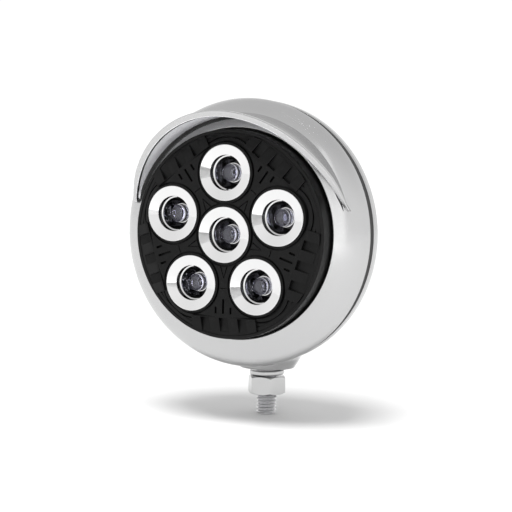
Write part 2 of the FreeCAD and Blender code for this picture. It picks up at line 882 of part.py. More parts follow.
def all_parts():
    parts = {
        "bezel": bezel(),
        "visor": visor(),
        "lamp_gasket": lamp_gasket(),
        "lamp_body": lamp_body(),
        "face_plate": face_plate(),
        "face_screws": face_screws(),
        "led_board": led_board(),
        "thermal_pad": thermal_pad(),
        "board_screws": board_screws(),
        "link_pins": link_pins(),
        "link_bush": link_bush(),
        "driver_board": driver_board(),
        "driver_screws": driver_screws(),
        "driver_inductor": driver_inductor(),
        "driver_capacitors": driver_capacitors(),
        "driver_chip": driver_chip(),
        "driver_cover": driver_cover(),
        "terminal_posts": terminal_posts(),
        "terminal_screws": terminal_screws(),
        "retaining_ring": retaining_ring(),
        "retaining_screws": retaining_screws(),
        "housing_gasket": housing_gasket(),
        "rear_housing": rear_housing(),
        "housing_screws": housing_screws(),
        "rear_grommet": rear_grommet(),
        "pedestal_saddle": pedestal_saddle(),
        "inner_saddle": inner_saddle(),
        "wave_washer": wave_washer(),
        "mount_bolt": mount_bolt(),
        "lock_washer": lock_washer(),
        "hex_nut": hex_nut(),
    }
    for k, (x, height) in enumerate(cup_centres(), start=1):
        parts[f"reflector_{k}"] = reflector(x, height)
        parts[f"lens_{k}"] = lens(x, height)
        parts[f"led_{k}"] = led(x, height)
    return parts


os.makedirs("parts", exist_ok=True)
for name, shape in all_parts().items():
    shape.exportStep(f"parts/{name}.step")
    print(name, len(shape.Solids), "solids", round(shape.Volume), "mm3, valid:", shape.isValid())
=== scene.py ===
# %% [markdown]
# # A chrome auxiliary lamp with a visor, on one threaded stud
# The lamp is a round steel bezel with a short visor, a black light unit with six chrome cups inside it,
# a chrome bucket behind a rubber band, and a stud with a split washer and a nut underneath.
# The solid model is loaded first as a fixed frame. Each outer piece is then made again with finer shape
# and finish in the same place, and the hidden inner pieces keep their solid shape and get a finish.

# %% Load the solid model
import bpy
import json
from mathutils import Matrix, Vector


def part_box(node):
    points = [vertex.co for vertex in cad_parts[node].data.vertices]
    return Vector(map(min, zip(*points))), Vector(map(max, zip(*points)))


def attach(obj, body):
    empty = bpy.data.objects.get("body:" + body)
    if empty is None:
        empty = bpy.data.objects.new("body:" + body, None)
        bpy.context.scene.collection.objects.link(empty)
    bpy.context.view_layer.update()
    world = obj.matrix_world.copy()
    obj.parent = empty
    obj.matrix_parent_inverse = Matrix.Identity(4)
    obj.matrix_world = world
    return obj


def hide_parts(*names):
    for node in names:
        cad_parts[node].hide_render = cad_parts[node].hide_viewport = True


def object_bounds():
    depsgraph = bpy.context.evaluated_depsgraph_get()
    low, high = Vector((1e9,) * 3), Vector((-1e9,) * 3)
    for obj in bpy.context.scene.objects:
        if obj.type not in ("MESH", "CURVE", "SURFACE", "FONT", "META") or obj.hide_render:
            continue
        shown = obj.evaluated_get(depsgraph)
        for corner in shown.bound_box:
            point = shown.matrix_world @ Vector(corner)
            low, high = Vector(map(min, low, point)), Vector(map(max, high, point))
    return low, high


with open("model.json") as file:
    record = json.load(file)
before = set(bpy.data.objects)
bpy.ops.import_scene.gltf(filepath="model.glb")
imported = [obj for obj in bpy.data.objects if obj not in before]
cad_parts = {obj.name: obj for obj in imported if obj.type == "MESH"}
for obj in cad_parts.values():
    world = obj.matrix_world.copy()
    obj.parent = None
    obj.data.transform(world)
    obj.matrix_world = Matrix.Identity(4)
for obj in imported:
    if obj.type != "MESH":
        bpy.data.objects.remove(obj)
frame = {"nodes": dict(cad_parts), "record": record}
print("solids in the frame", len(frame["nodes"]))

# %% [markdown]
# ## Sizes
# Everything is measured from the solid model's own boxes, so that a change there moves the pieces here.
# Pieces of the lamp head are described as a turner would: a radius from the lamp's axis and a depth
# behind the plane of the cups' rims, in millimetres.

# %% Sizes from the frame
import json
import math
import bmesh
import bpy
import numpy as np
from mathutils import Quaternion, Vector
from mathutils.geometry import delaunay_2d_cdt

MM = 0.001
cad_low, cad_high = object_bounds()
scene = bpy.context.scene
bezel_low, bezel_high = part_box("bezel")
axis_z = (bezel_low.z + bezel_high.z) / 2
rim_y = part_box("reflector_1")[0].y


def radius_of(node):
    low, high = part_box(node)
    return (high.x - low.x) / 2 / MM


def depths_of(node):
    low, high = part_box(node)
    return (low.y - rim_y) / MM, (high.y - rim_y) / MM


def heights_of(node):
    low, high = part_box(node)
    return low.z / MM, high.z / MM


def at(x, depth, height):
    """A point of the lamp head, from its offsets across and up from the axis and its depth."""
    return x * MM, rim_y + depth * MM, axis_z + height * MM


def cup_place(k):
    """The offsets of a cup's middle from the lamp's axis."""
    low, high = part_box(f"reflector_{k}")
    return (low.x + high.x) / 2 / MM, ((low.z + high.z) / 2 - axis_z) / MM


bezel_r = radius_of("bezel")
bezel_front, bezel_back = depths_of("bezel")
cups = [cup_place(k) for k in range(1, 7)]
cup_r = radius_of("reflector_1")
print("axis height", round(axis_z / MM, 2), "bezel radius", round(bezel_r, 2), "cups", len(cups))

# %% [markdown]
# ## Finishes
# Every finish is a Principled shader with a noise on the piece's own object coordinates: a coarse noise
# moves the colour a little, and a finer one moves the roughness and raises a faint bump. A painted image
# would need unwrapped pieces; noise needs nothing and never shows a seam.


# %% A finish with grain
def grained(name, shade, other, metal, rough, grain, bump, coat=0.0):
    """A finish that runs between two shades, with roughness and bump from noise of that grain in mm."""
    material = bpy.data.materials.new(name)
    material.use_nodes = True
    tree = material.node_tree
    shader = tree.nodes["Principled BSDF"]
    shader.inputs["Metallic"].default_value = metal
    shader.inputs["Coat Weight"].default_value = coat
    where = tree.nodes.new("ShaderNodeTexCoord")
    coarse = tree.nodes.new("ShaderNodeTexNoise")
    coarse.inputs["Scale"].default_value = 1 / (12 * grain * MM)
    fine = tree.nodes.new("ShaderNodeTexNoise")
    fine.inputs["Scale"].default_value = 1 / (grain * MM)
    fine.inputs["Detail"].default_value = 3.0
    mix = tree.nodes.new("ShaderNodeMix")
    mix.data_type = "RGBA"
    mix.inputs["A"].default_value = (*shade, 1.0)
    mix.inputs["B"].default_value = (*other, 1.0)
    spread = tree.nodes.new("ShaderNodeMapRange")
    spread.inputs["To Min"].default_value = rough[0]
    spread.inputs["To Max"].default_value = rough[1]
    relief = tree.nodes.new("ShaderNodeBump")
    relief.inputs["Strength"].default_value = 0.6
    relief.inputs["Distance"].default_value = bump * MM
    link = tree.links.new
    link(where.outputs["Object"], coarse.inputs["Vector"])
    link(where.outputs["Object"], fine.inputs["Vector"])
    link(coarse.outputs["Fac"], mix.inputs["Factor"])
    link(mix.outputs["Result"], shader.inputs["Base Color"])
    link(fine.outputs["Fac"], spread.inputs["Value"])
    link(spread.outputs["Result"], shader.inputs["Roughness"])
    link(fine.outputs["Fac"], relief.inputs["Height"])
    link(relief.outputs["Normal"], shader.inputs["Normal"])
    return material


def grey(level, tint=0.0):
    """A grey, with a little more blue if a tint is given."""
    return level, level, level + tint


print("finish helper ready")

# %% [markdown]
# Plated metal has almost no grain, moulded plastic and castings have a fine tooth, and rubber is dull.
# The table gives each finish its two shades, how metallic it is, the least and most roughness, the grain
# and the bump. Black parts are almost black and get a weak gloss, as they stand in a bright surround.

# %% The lamp's finishes
finishes = {
    "chrome_plate": grained("chrome_plate", grey(0.54), grey(0.52, 0.004), 0.90, (0.15, 0.20), 8.0, 0.0),
    "mirror_cup": grained("mirror_cup", grey(0.76), grey(0.74), 1.0, (0.05, 0.08), 2.0, 0.0004),
    "black_rubber": grained("black_rubber", grey(0.022), grey(0.034), 0.0, (0.62, 0.82), 0.35, 0.02),
    "black_casting": grained("black_casting", grey(0.004), grey(0.007), 0.0, (0.26, 0.38), 0.5, 0.006),
    "black_moulding": grained("black_moulding", grey(0.003), grey(0.006), 0.0, (0.30, 0.44), 0.30, 0.006),
    "zinc_steel": grained("zinc_steel", grey(0.62), grey(0.54, 0.02), 1.0, (0.14, 0.24), 0.8, 0.003),
    "stainless_steel": grained("stainless_steel", grey(0.66), grey(0.60), 1.0, (0.18, 0.30), 0.8, 0.003),
    "nut_plate": grained("nut_plate", grey(0.54), grey(0.48), 1.0, (0.16, 0.22), 1.0, 0.003),
    "black_board": grained("black_board", grey(0.012), grey(0.02), 0.0, (0.3, 0.4), 0.6, 0.002, 0.2),
    "green_board": grained(
        "green_board", (0.02, 0.14, 0.05), (0.03, 0.18, 0.07), 0.0, (0.2, 0.3), 0.8, 0.004, 0.5),
    "grey_pad": grained("grey_pad", grey(0.40, 0.03), grey(0.34, 0.02), 0.0, (0.7, 0.85), 0.4, 0.01),
    "nylon": grained("nylon", (0.80, 0.78, 0.70), (0.76, 0.74, 0.66), 0.0, (0.35, 0.5), 0.6, 0.004),
    "brass": grained("brass", (0.78, 0.58, 0.26), (0.70, 0.50, 0.20), 1.0, (0.2, 0.34), 0.5, 0.003),
    "ferrite": grained("ferrite", grey(0.07), grey(0.05), 0.0, (0.5, 0.7), 0.3, 0.01),
    "aluminium_can": grained("aluminium_can", grey(0.80), grey(0.74), 1.0, (0.24, 0.34), 0.5, 0.002),
    "chip_black": grained("chip_black", grey(0.03), grey(0.02), 0.0, (0.45, 0.6), 0.2, 0.003),
    "emitter": grained("emitter", (0.07, 0.07, 0.055), (0.05, 0.05, 0.04), 0.0, (0.3, 0.45), 0.2, 0.003),
}
weak_gloss = 0.13
for slot in ("black_casting", "black_moulding"):
    finishes[slot].node_tree.nodes["Principled BSDF"].inputs["Specular IOR Level"].default_value = weak_gloss
print("finishes", len(finishes))

# %% [markdown]
# Three kinds of piece get a second finish on some of their faces that paints light or shade on them:
# painted shade in the bowl of a cup, painted light on the underside of the visor and a painted highlight
# on the shoulder of a lens. They are made here and given to the faces when the piece is made.

# %% Painted shade and light for parts of a piece
# Painted shade: a dark plate that keeps a cup's bowl dark in a bright surround.
bowl_painted_shade = grained("bowl_shade_paint", grey(0.16), grey(0.11), 1.0, (0.10, 0.18), 2.0, 0.0004)
# Painted light: a bright, non-metallic finish for the visor's underside.
visor_underside_painted_light = grained("visor_underside_painted_light", grey(0.96, 0.03), grey(0.94, 0.03), 0.0, (0.30, 0.40), 3.0, 0.0006)
# Painted highlight: a pale band that draws a bright line round each lens.
lens_rim_highlight_paint = grained("lens_rim_painted_highlight", grey(0.90), grey(0.86), 0.2, (0.30, 0.40), 1.0, 0.0006)
print("second finishes", bowl_painted_shade.name, visor_underside_painted_light.name, lens_rim_highlight_paint.name)

# %% [markdown]
# The lenses are clear moulded plastic with a faint cool tint. Transmission lets the emitter show through,
# and a little noise in the roughness keeps the highlights from being perfectly sharp.

# %% Clear lens
clear = grained("clear_lens", (0.84, 0.84, 0.99), (0.90, 0.90, 1.0), 0.0, (0.015, 0.04), 1.5, 0.0003)
clear_shader = clear.node_tree.nodes["Principled BSDF"]
clear_shader.inputs["Transmission Weight"].default_value = 1.0
clear_shader.inputs["IOR"].default_value = 1.49
finishes["clear_lens"] = clear
print("lens index", clear_shader.inputs["IOR"].default_value)

# %% [markdown]
# ## Inner pieces
# The solids that stay as they are take the finish that their record names. They are only seen when the
# lamp is taken apart, or through a lens.

# %% Finish the carried-over solids
slot_of = {row["node"]: row["material_slot"] for row in frame["record"]["subparts"]}
for node, solid in frame["nodes"].items():
    solid.data.materials.clear()
    solid.data.materials.append(finishes[slot_of[node]])
print("solids finished", len(frame["nodes"]))

# %% [markdown]
# ## Turning a profile
# Most of the lamp is turned or spun on a lathe, so most pieces here are a closed outline carried round an
# axis. Corners get a small arc first, because plated and moulded edges are never sharp and the thin
# highlight along an edge is what makes it look made. A Bevel modifier could do it, but arcs in the outline
# cost fewer faces and stay even all the way round.


# %% Rounded corners
def eased(corners, steps=5, closed=True):
    """Corners given as (r, s) or (r, s, radius): each radius becomes an arc that touches both sides."""
    made = []
    count = len(corners)
    for k, corner in enumerate(corners):
        here = np.array(corner[:2], float)
        if len(corner) < 3 or (not closed and k in (0, count - 1)):
            made.append(here)
            continue
        before = np.array(corners[k - 1][:2], float) - here
        after = np.array(corners[(k + 1) % count][:2], float) - here
        room = 0.44 * min(np.linalg.norm(before), np.linalg.norm(after))
        before /= np.linalg.norm(before)
        after /= np.linalg.norm(after)
        half = math.acos(max(-1.0, min(1.0, float(before @ after)))) / 2
        if half > math.pi / 2 - 0.02:
            made.append(here)
            continue
        radius = min(corner[2], room / (1 / math.tan(half) + 0.25))
        middle = here + (before + after) / np.linalg.norm(before + after) * radius / math.sin(half)
        first = here + before * radius / math.tan(half) - middle
        last = here + after * radius / math.tan(half) - middle
        sweep = math.pi - 2 * half
        hold = 0.25 * radius
        made.append(middle + first + before * hold)
        for t in np.linspace(0, 1, steps + 1):
            swung = math.sin((1 - t) * sweep) * first + math.sin(t * sweep) * last
            made.append(middle + swung / math.sin(sweep))
        made.append(middle + last + after * hold)
    return [(float(r), float(s)) for r, s in made]


print("a square's corners, rounded:", len(eased([(0, 0, 1), (4, 0, 1), (4, 4, 1), (0, 4, 1)])), "points")


# %% Curves and turned grids
def through(points, steps):
    """A smooth curve through a few points, as the one polynomial that passes them all."""
    points = np.array(points, float)
    along = np.concatenate([[0], np.cumsum(np.linalg.norm(np.diff(points, axis=0), axis=1))])
    t = np.linspace(0, along[-1], steps + 1)
    fits = [np.polyfit(along, points[:, c], len(points) - 1) for c in (0, 1)]
    return [(float(np.polyval(fits[0], u)), float(np.polyval(fits[1], u))) for u in t]


def grid_faces(columns, rows, wrap_rows, wrap_columns=True):
    """The quads of a grid of points, kept column by column."""
    faces = []
    for i in range(columns if wrap_columns else columns - 1):
        for k in range(rows if wrap_rows else rows - 1):
            j, m = (i + 1) % columns, (k + 1) % rows
            faces.append((i * rows + k, i * rows + m, j * rows + m, j * rows + k))
    return faces


def turned(profile, place=(0.0, 0.0), columns=192, closed=True):
    """Points and faces of an outline of (r, s) turned about an axis parallel to the lamp's."""
    points = []
    for i in range(columns):
        c, s = math.cos(2 * math.pi * i / columns), math.sin(2 * math.pi * i / columns)
        points += [at(place[0] + r * c, depth, place[1] + r * s) for r, depth in profile]
    return points, grid_faces(columns, len(profile), closed)


print("faces of a turned square:", len(turned([(1, 0), (2, 0), (2, 1), (1, 1)])[1]))

# %% [markdown]
# Points and faces become a piece in the same way each time: doubles are merged, the faces are turned
# outwards, all but the sharp edges are smoothed, and the piece is tied to the body that carries it and to
# the solids that it stands for.


# %% From points and faces to a piece
def clean(mesh, crease):
    """Merge doubles, close poles, turn faces outwards and smooth all but the sharp edges."""
    work = bmesh.new()
    work.from_mesh(mesh)
    bmesh.ops.remove_doubles(work, verts=work.verts, dist=2e-7)
    bmesh.ops.dissolve_degenerate(work, dist=1e-7, edges=work.edges)
    bmesh.ops.recalc_face_normals(work, faces=work.faces)
    work.to_mesh(mesh)
    work.free()
    mesh.polygons.foreach_set("use_smooth", [True] * len(mesh.polygons))
    mesh.set_sharp_from_angle(angle=math.radians(crease))


def stand_in(obj, body, nodes):
    """The piece rides on its body and stands for its solids, if it has any."""
    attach(obj, body)
    if nodes:
        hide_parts(*nodes)
    print(obj.name, "faces", len(obj.data.polygons), "for", ", ".join(nodes) or "no solid")
    return obj


def new_mesh(name, shape, crease=32):
    mesh = bpy.data.meshes.new(name)
    mesh.from_pydata(shape[0], [], shape[1])
    clean(mesh, crease)
    return mesh


def new_object(name, mesh):
    obj = bpy.data.objects.new(name, mesh)
    scene.collection.objects.link(obj)
    return obj


def make_piece(name, shape, body, slot, nodes, crease=32):
    mesh = new_mesh(name, shape, crease)
    mesh.materials.append(finishes[slot])
    return stand_in(new_object(name, mesh), body, nodes)


def spot_of(face, middle=(0.0, 0.0)):
    """A face's distance from an axis beside the lamp's own, and its depth behind the cups' rims, in mm."""
    x, y, z = face.center
    return math.hypot(x / MM - middle[0], (z - axis_z) / MM - middle[1]), (y - rim_y) / MM


print("piece helpers ready")


# %% [markdown]
# ## Bezel
# The bezel is steel sheet spun over a form: a crown that falls from the front opening to the widest edge,
# with the opening's edge turned inwards to hold the lamp unit. One outline carries the crown, the lip and
# the inner side of the sheet. A curve through four points gives the crown one even sweep, which mirrored
# light shows at once if it is not there.

# %% Bezel
opening_r = 53.4
sheet = 1.6
lip_depth = 3.7
crown_width = bezel_r - opening_r
crown_deep = bezel_back - bezel_front
crown_bend = [(0.0, 0.0), (0.44, 0.23), (0.84, 0.58), (1.0, 1.0)]
crown_line = [(opening_r + u * crown_width, bezel_front + v * crown_deep) for u, v in crown_bend]
crown = [(min(r, bezel_r), s) for r, s in through(crown_line, 40)]


def crown_depth(r):
    """The crown's depth at a radius."""
    return float(np.interp(r, [p[0] for p in crown], [p[1] for p in crown]))


inner_crown = [(r - sheet * 0.55, s + sheet) for r, s in crown if s < bezel_back - 5.0][3:]
bezel_outline = eased(
    [(opening_r, bezel_front, 0.8)] + crown[4:-3] + [(bezel_r, bezel_back, 0.9)]
    + [(bezel_r - sheet, bezel_back)] + inner_crown[::-1] + [(opening_r, bezel_front + lip_depth)],
    steps=7,
)
make_piece("bezel_crown", turned(bezel_outline, columns=288), "lamp_head", "chrome_plate", ["bezel"], 40)

# %% [markdown]
# ## Visor
# The visor is a strip of sheet rolled to a cone and cut off at a slant, with its front edge folded back
# into a broad flat lip. A section is worked out at each angle: its root follows the crown, its front
# follows the slanted plane, and near the two tips the front is set back along an arc to round them.

# %% Visor: sizes and front edge
visor_r = 59.4
visor_taper = 0.03
visor_sheet = 1.8
visor_lip = 3.0
visor_lip_depth = 2.6
tip_angle = 12.5
tip_depth = 14.0
tip_height = 14.3
rake = 0.537
tip_round = 4.5


def visor_front(angle, r):
    """The depth of the visor's front edge at an angle and radius."""
    from_tip = min(angle - tip_angle, 180 - tip_angle - angle) * math.radians(1) * visor_r
    near = min(tip_round, max(0.0, tip_round - from_tip))
    setback = tip_round - math.sqrt(tip_round ** 2 - near ** 2)
    return tip_depth + rake * (tip_height - r * math.sin(math.radians(angle))) + setback * 0.5


print("the visor's front at its top, depth", round(visor_front(90.0, visor_r), 1))


# %% Visor: section and sheet
def visor_section(angle):
    """The closed outline of the sheet at an angle, with its lip, narrower near the tips."""
    from_tip = min(angle - tip_angle, 180 - tip_angle - angle)
    share = 0.5 + 0.5 * min(1.0, max(0.0, from_tip) / 16.0)
    flare = 3.2 * (1.0 - math.sin(math.radians(angle))) ** 2

    def front(r):
        return visor_front(angle, r)

    inner = visor_r - visor_taper * (bezel_back - front(visor_r)) + flare
    fold = inner + visor_lip * share
    corners = [
        (visor_r, crown_depth(visor_r) + 0.3),
        (inner + 0.3, front(inner) + 2.3),
        (inner + 0.3, front(inner) + 2.0),
        (inner, front(inner) + 2.0),
        (inner, front(inner), 0.3),
        (fold, front(fold), 0.6 * share),
        (fold + 0.1, front(fold) + visor_lip_depth * share, 0.5 * share),
        (inner + visor_sheet * (0.5 + 0.5 * share), front(fold) + visor_lip_depth * share + 0.15, 0.2),
        (visor_r + visor_sheet, crown_depth(visor_r + visor_sheet) + 0.3),
    ]
    line = eased(corners, steps=5)
    return [(r, min(s, crown_depth(r) + 0.35)) for r, s in line]


def visor_shape():
    angles = np.concatenate([
        np.linspace(tip_angle, tip_angle + 6, 16)[:-1],
        np.linspace(tip_angle + 6, 174 - tip_angle, 150)[:-1],
        np.linspace(174 - tip_angle, 180 - tip_angle, 16),
    ])
    points, rows = [], 0
    for angle in angles:
        section = visor_section(angle)
        rows = len(section)
        c, s = math.cos(math.radians(angle)), math.sin(math.radians(angle))
        points += [at(r * c, depth, r * s) for r, depth in section]
    faces = grid_faces(len(angles), rows, True, False)
    faces.append(tuple(range(rows)))
    faces.append(tuple(range(len(points) - rows, len(points))))
    return points, faces


hood = make_piece("visor_hood", visor_shape(), "lamp_head", "chrome_plate", ["visor"], 34)

# %% [markdown]
# The visor's underside gets a bright, non-metallic finish as painted light, and just behind its front
# edge runs a narrow black strip of painted shade in the black rubber finish. The faces that look inwards
# are picked by their normal, and the strip among them by how far they lie behind the front edge. A second
# object would need its own sheet; a second finish on the same mesh does not.

# %% Visor: painted light and shade inside
facing_in = 0.5
shade_line_from, shade_line_to = 0.3, 2.05
hood.data.materials.append(visor_underside_painted_light)
hood.data.materials.append(finishes["black_rubber"])
# Index 1 is the painted light of the underside, index 2 the painted shade of the strip.
for face in hood.data.polygons:
    x, _, z = face.center
    r, depth = spot_of(face)
    inwards = -(face.normal.x * x + face.normal.z * (z - axis_z)) / (r * MM)
    behind = depth - visor_front(math.degrees(math.atan2(z - axis_z, x)), r)
    if inwards > facing_in and r < visor_r + 2.4:
        face.material_index = 2 if shade_line_from < behind < shade_line_to else 1
print("faces inside the visor", sum(face.material_index > 0 for face in hood.data.polygons))

# %% [markdown]
# A thin black bead in the joint where the visor meets the bezel is painted shade: it paints the dark
# contact shadow of the joint. It is a small four-sided section carried along the root, which shrinks to
# nothing at the two tips. It has no solid of its own, so it only rides on the lamp head.


# %% Painted shade at the visor's root
root_shade_size = 1.5


def root_shade_shape():
    rows = 4
    angles = np.linspace(tip_angle + 0.6, 179.4 - tip_angle, 150)
    foot = crown_depth(visor_r)
    points = []
    for angle in angles:
        c, s = math.cos(math.radians(angle)), math.sin(math.radians(angle))
        size = root_shade_size * min(1.0, min(angle - tip_angle, 180 - tip_angle - angle) / 8.0)
        section = [
            (visor_r + 0.1, foot + 0.2), (visor_r + 0.1, foot - 1.3 * size),
            (visor_r - 0.35 * size, foot - 1.2 * size), (visor_r - size, crown_depth(visor_r - size) + 0.05),
        ]
        points += [at(r * c, depth, r * s) for r, depth in section]
    faces = grid_faces(len(angles), rows, True, False)
    faces += [tuple(range(rows)), tuple(range(len(points) - rows, len(points)))]
    return points, faces


# The bead is painted shade in the black rubber finish.
make_piece("visor_seal", root_shade_shape(), "lamp_head", "black_rubber", [])

# %% [markdown]
# ## Rear housing, rubber band and grommet
# The housing is a deep-drawn bucket with a rolled rim and a shallow dome at the back. It is one outline
# of outer side, rim and inner side, so the wall has a real thickness at the hole in its back.

# %% Rear housing
housing_rim_r = radius_of("rear_housing")
rim_start, housing_back = depths_of("rear_housing")
rim_back = rim_start + 5.5
bucket_r = housing_rim_r - 7.8
bucket_taper = 0.09
bucket_corner = 18.0
dome_r = 170.0
wall = 1.8
hole_r = 7.0
flat_r = 14.0


def bucket_line(inset):
    """The bucket's outline from the back's middle to the rim, moved inwards."""
    side, back = bucket_r - inset, housing_back - inset
    end_r = side - bucket_taper * (back - rim_start)

    def dome(r):
        return back - (dome_r - math.sqrt(dome_r ** 2 - r ** 2))

    rings = np.linspace(flat_r + 1.0, end_r - bucket_corner, 8)
    return [(float(r), dome(r)) for r in rings] + [(end_r, dome(end_r), bucket_corner - inset)], side


outer_line, outer_side = bucket_line(0.0)
inner_line, inner_side = bucket_line(wall)
flat_back = housing_back - 0.5
housing_outline = (
    [(hole_r, flat_back, 0.3), (flat_r, flat_back, 0.3), (flat_r + 0.3, housing_back - 0.57, 0.3)]
    + outer_line
    + [(outer_side - bucket_taper * (rim_back - rim_start), rim_back, 0.8)]
    + [(housing_rim_r, rim_back, 2.0), (housing_rim_r, rim_start, 1.2), (inner_side, rim_start, 0.3)]
    + inner_line[::-1]
    + [(flat_r, flat_back - wall), (hole_r, flat_back - wall, 0.3)]
)
housing_shape = turned(eased(housing_outline, 12), columns=256)
make_piece("housing_bucket", housing_shape, "lamp_head", "chrome_plate", ["rear_housing"], 36)

# %% [markdown]
# A thick rubber band sits between the housing's rim and the bezel, and the lead leaves through a grommet
# in the middle of the back. Both are turned; soft corners and a dull finish make them read as rubber.

# %% Rubber band and grommet
band_r = radius_of("housing_gasket")
band_outline = [
    (band_r - 8.0, bezel_back), (band_r, bezel_back, 0.5), (band_r - 0.35, bezel_back + 1.6, 0.8),
    (band_r - 0.35, rim_start - 1.6, 0.8), (band_r, rim_start, 0.5), (band_r - 8.0, rim_start),
]
band_shape = turned(eased(band_outline, 6), columns=256)
make_piece("housing_band", band_shape, "lamp_head", "black_rubber", ["housing_gasket"])

grommet_in, grommet_out = depths_of("rear_grommet")
grommet_r = radius_of("rear_grommet")
lead_r = 3.5
grommet_outline = [
    (lead_r, grommet_in, 0.4), (grommet_r, grommet_in, 0.5), (grommet_r, flat_back - wall),
    (hole_r, flat_back - wall), (hole_r, flat_back), (grommet_r, flat_back, 0.3),
    (grommet_r - 0.5, flat_back + 1.2, 0.8), (grommet_r - 3.2, grommet_out, 0.6), (lead_r, grommet_out, 0.6),
]
grommet_shape = turned(eased(grommet_outline, 6), columns=96)
make_piece("lead_grommet", grommet_shape, "lamp_head", "black_rubber", ["rear_grommet"])

# %% [markdown]
# ## Rings of alike pieces
# Screws and cooling fins repeat round the axis. A small node tree places one made item at each step of a
# ring, turns it to face outwards, makes the copies real and gives them their finish. Its sizes are named
# inputs, so one tree serves every ring.


# %% Node tree for a ring
def ring_tree():
    tree = bpy.data.node_groups.new("ring_of_items", "GeometryNodeTree")
    tree.interface.new_socket("Geometry", in_out="OUTPUT", socket_type="NodeSocketGeometry")
    for label, kind in (("Item", "Object"), ("Count", "Int"), ("Pitch radius", "Float"),
                        ("First angle", "Float"), ("Axis height", "Float"), ("Finish", "Material")):
        tree.interface.new_socket(label, in_out="INPUT", socket_type="NodeSocket" + kind)
    new, link = tree.nodes.new, tree.links.new
    given = new("NodeGroupInput")

    def sum_of(kind, a, b):
        node = new("ShaderNodeMath")
        node.operation = kind
        for socket, value in zip(node.inputs, (a, b)):
            if isinstance(value, (int, float)):
                socket.default_value = value
            elif value is not None:
                link(value, socket)
        return node.outputs[0]

    step = sum_of("DIVIDE", 2 * math.pi, given.outputs["Count"])
    along = sum_of("MULTIPLY", new("GeometryNodeInputIndex").outputs[0], step)
    turn = sum_of("ADD", along, given.outputs["First angle"])
    spot = new("ShaderNodeCombineXYZ")
    link(sum_of("MULTIPLY", sum_of("COSINE", turn, None), given.outputs["Pitch radius"]), spot.inputs["X"])
    up = sum_of("MULTIPLY", sum_of("SINE", turn, None), given.outputs["Pitch radius"])
    link(sum_of("ADD", up, given.outputs["Axis height"]), spot.inputs["Z"])
    facing = new("ShaderNodeCombineXYZ")
    link(sum_of("MULTIPLY", turn, -1.0), facing.inputs["Y"])
    points = new("GeometryNodePoints")
    link(given.outputs["Count"], points.inputs["Count"])
    link(spot.outputs[0], points.inputs["Position"])
    item = new("GeometryNodeObjectInfo")
    link(given.outputs["Item"], item.inputs["Object"])
    copies = new("GeometryNodeInstanceOnPoints")
    link(points.outputs[0], copies.inputs["Points"])
    link(item.outputs["Geometry"], copies.inputs["Instance"])
    link(facing.outputs[0], copies.inputs["Rotation"])
    real = new("GeometryNodeRealizeInstances")
    link(copies.outputs[0], real.inputs[0])
    painted = new("GeometryNodeSetMaterial")
    link(real.outputs[0], painted.inputs["Geometry"])
    link(given.outputs["Finish"], painted.inputs["Material"])
    link(painted.outputs[0], new("NodeGroupOutput").inputs[0])
    return tree


ring = ring_tree()
print("ring tree nodes", len(ring.nodes))

# %% [markdown]
# The tree runs on an empty host object. Its inputs are set by their identifiers, the result is read off
# the evaluated host as one plain mesh, and the host and the single item are taken away again.


# %% From the tree to a piece
def ring_of(name, item, count, pitch_r, first_angle, slot, nodes, crease=32):
    """Bake a ring of copies of an item's mesh into one plain piece."""
    source = new_object(name + "_item", item)
    host = new_object(name + "_host", bpy.data.meshes.new(name + "_host"))
    modifier = host.modifiers.new("ring", "NODES")
    modifier.node_group = ring
    values = {
        "Item": source, "Count": count, "Pitch radius": pitch_r * MM, "Axis height": axis_z,
        "First angle": math.radians(first_angle), "Finish": finishes[slot],
    }
    for socket in ring.interface.items_tree:
        if socket.name in values:
            modifier[socket.identifier] = values[socket.name]
    mesh = bpy.data.meshes.new_from_object(host.evaluated_get(bpy.context.evaluated_depsgraph_get()))
    mesh.name = name
    for extra in (source, host):
        bpy.data.objects.remove(extra)
    clean(mesh, crease)
    return stand_in(new_object(name, mesh), "lamp_head", nodes)


print("ring inputs", [socket.name for socket in ring.interface.items_tree if socket.in_out == "INPUT"])

# %% [markdown]
# Four screws hold the housing to the bezel from behind. A screw is turned like the rest: a domed head over
# a plain shank, with a cross pressed into the head. The cross is cut with a boolean, as a punch would
# press it, since a turned grid has no room for a square corner.


# %% Screws
def box_shape(low, high):
    xs, ys, zs = zip(low, high)
    points = [(x * MM, rim_y + y * MM, z * MM) for x in xs for y in ys for z in zs]
    faces = [(0, 1, 3, 2), (4, 6, 7, 5), (0, 4, 5, 1), (2, 3, 7, 6), (0, 2, 6, 4), (1, 5, 7, 3)]
    return points, faces


def screw_mesh(tip, seat, head_r=2.75, head=2.0, shank_r=1.5):
    """A cross-head screw on its own axis, its head at the back."""
    outline = eased([
        (0.0, tip), (shank_r - 0.4, tip), (shank_r, tip + 0.5), (shank_r, seat), (head_r, seat, 0.2),
        (head_r, seat + 0.55 * head, 0.7), (head_r - 1.2, seat + head, 0.6), (0.0, seat + head),
    ], 4, closed=False)
    points = []
    for i in range(32):
        c, s = math.cos(math.pi * i / 16), math.sin(math.pi * i / 16)
        points += [(r * c * MM, rim_y + depth * MM, r * s * MM) for r, depth in outline]
    body = new_object("screw", new_mesh("screw", (points, grid_faces(32, len(outline), False))))
    cutters = []
    for half_x, half_z in ((0.35, 1.5), (1.5, 0.35)):
        arm = box_shape((-half_x, seat + head - 1.1, -half_z), (half_x, seat + head + 1.0, half_z))
        cutter = new_object("cross", new_mesh("cross", arm))
        cut = body.modifiers.new("cross", "BOOLEAN")
        cut.operation = "DIFFERENCE"
        cut.solver = "EXACT"
        cut.object = cutter
        cutters.append(cutter)
    made = bpy.data.meshes.new_from_object(body.evaluated_get(bpy.context.evaluated_depsgraph_get()))
    for extra in [body] + cutters:
        bpy.data.objects.remove(extra)
    return made


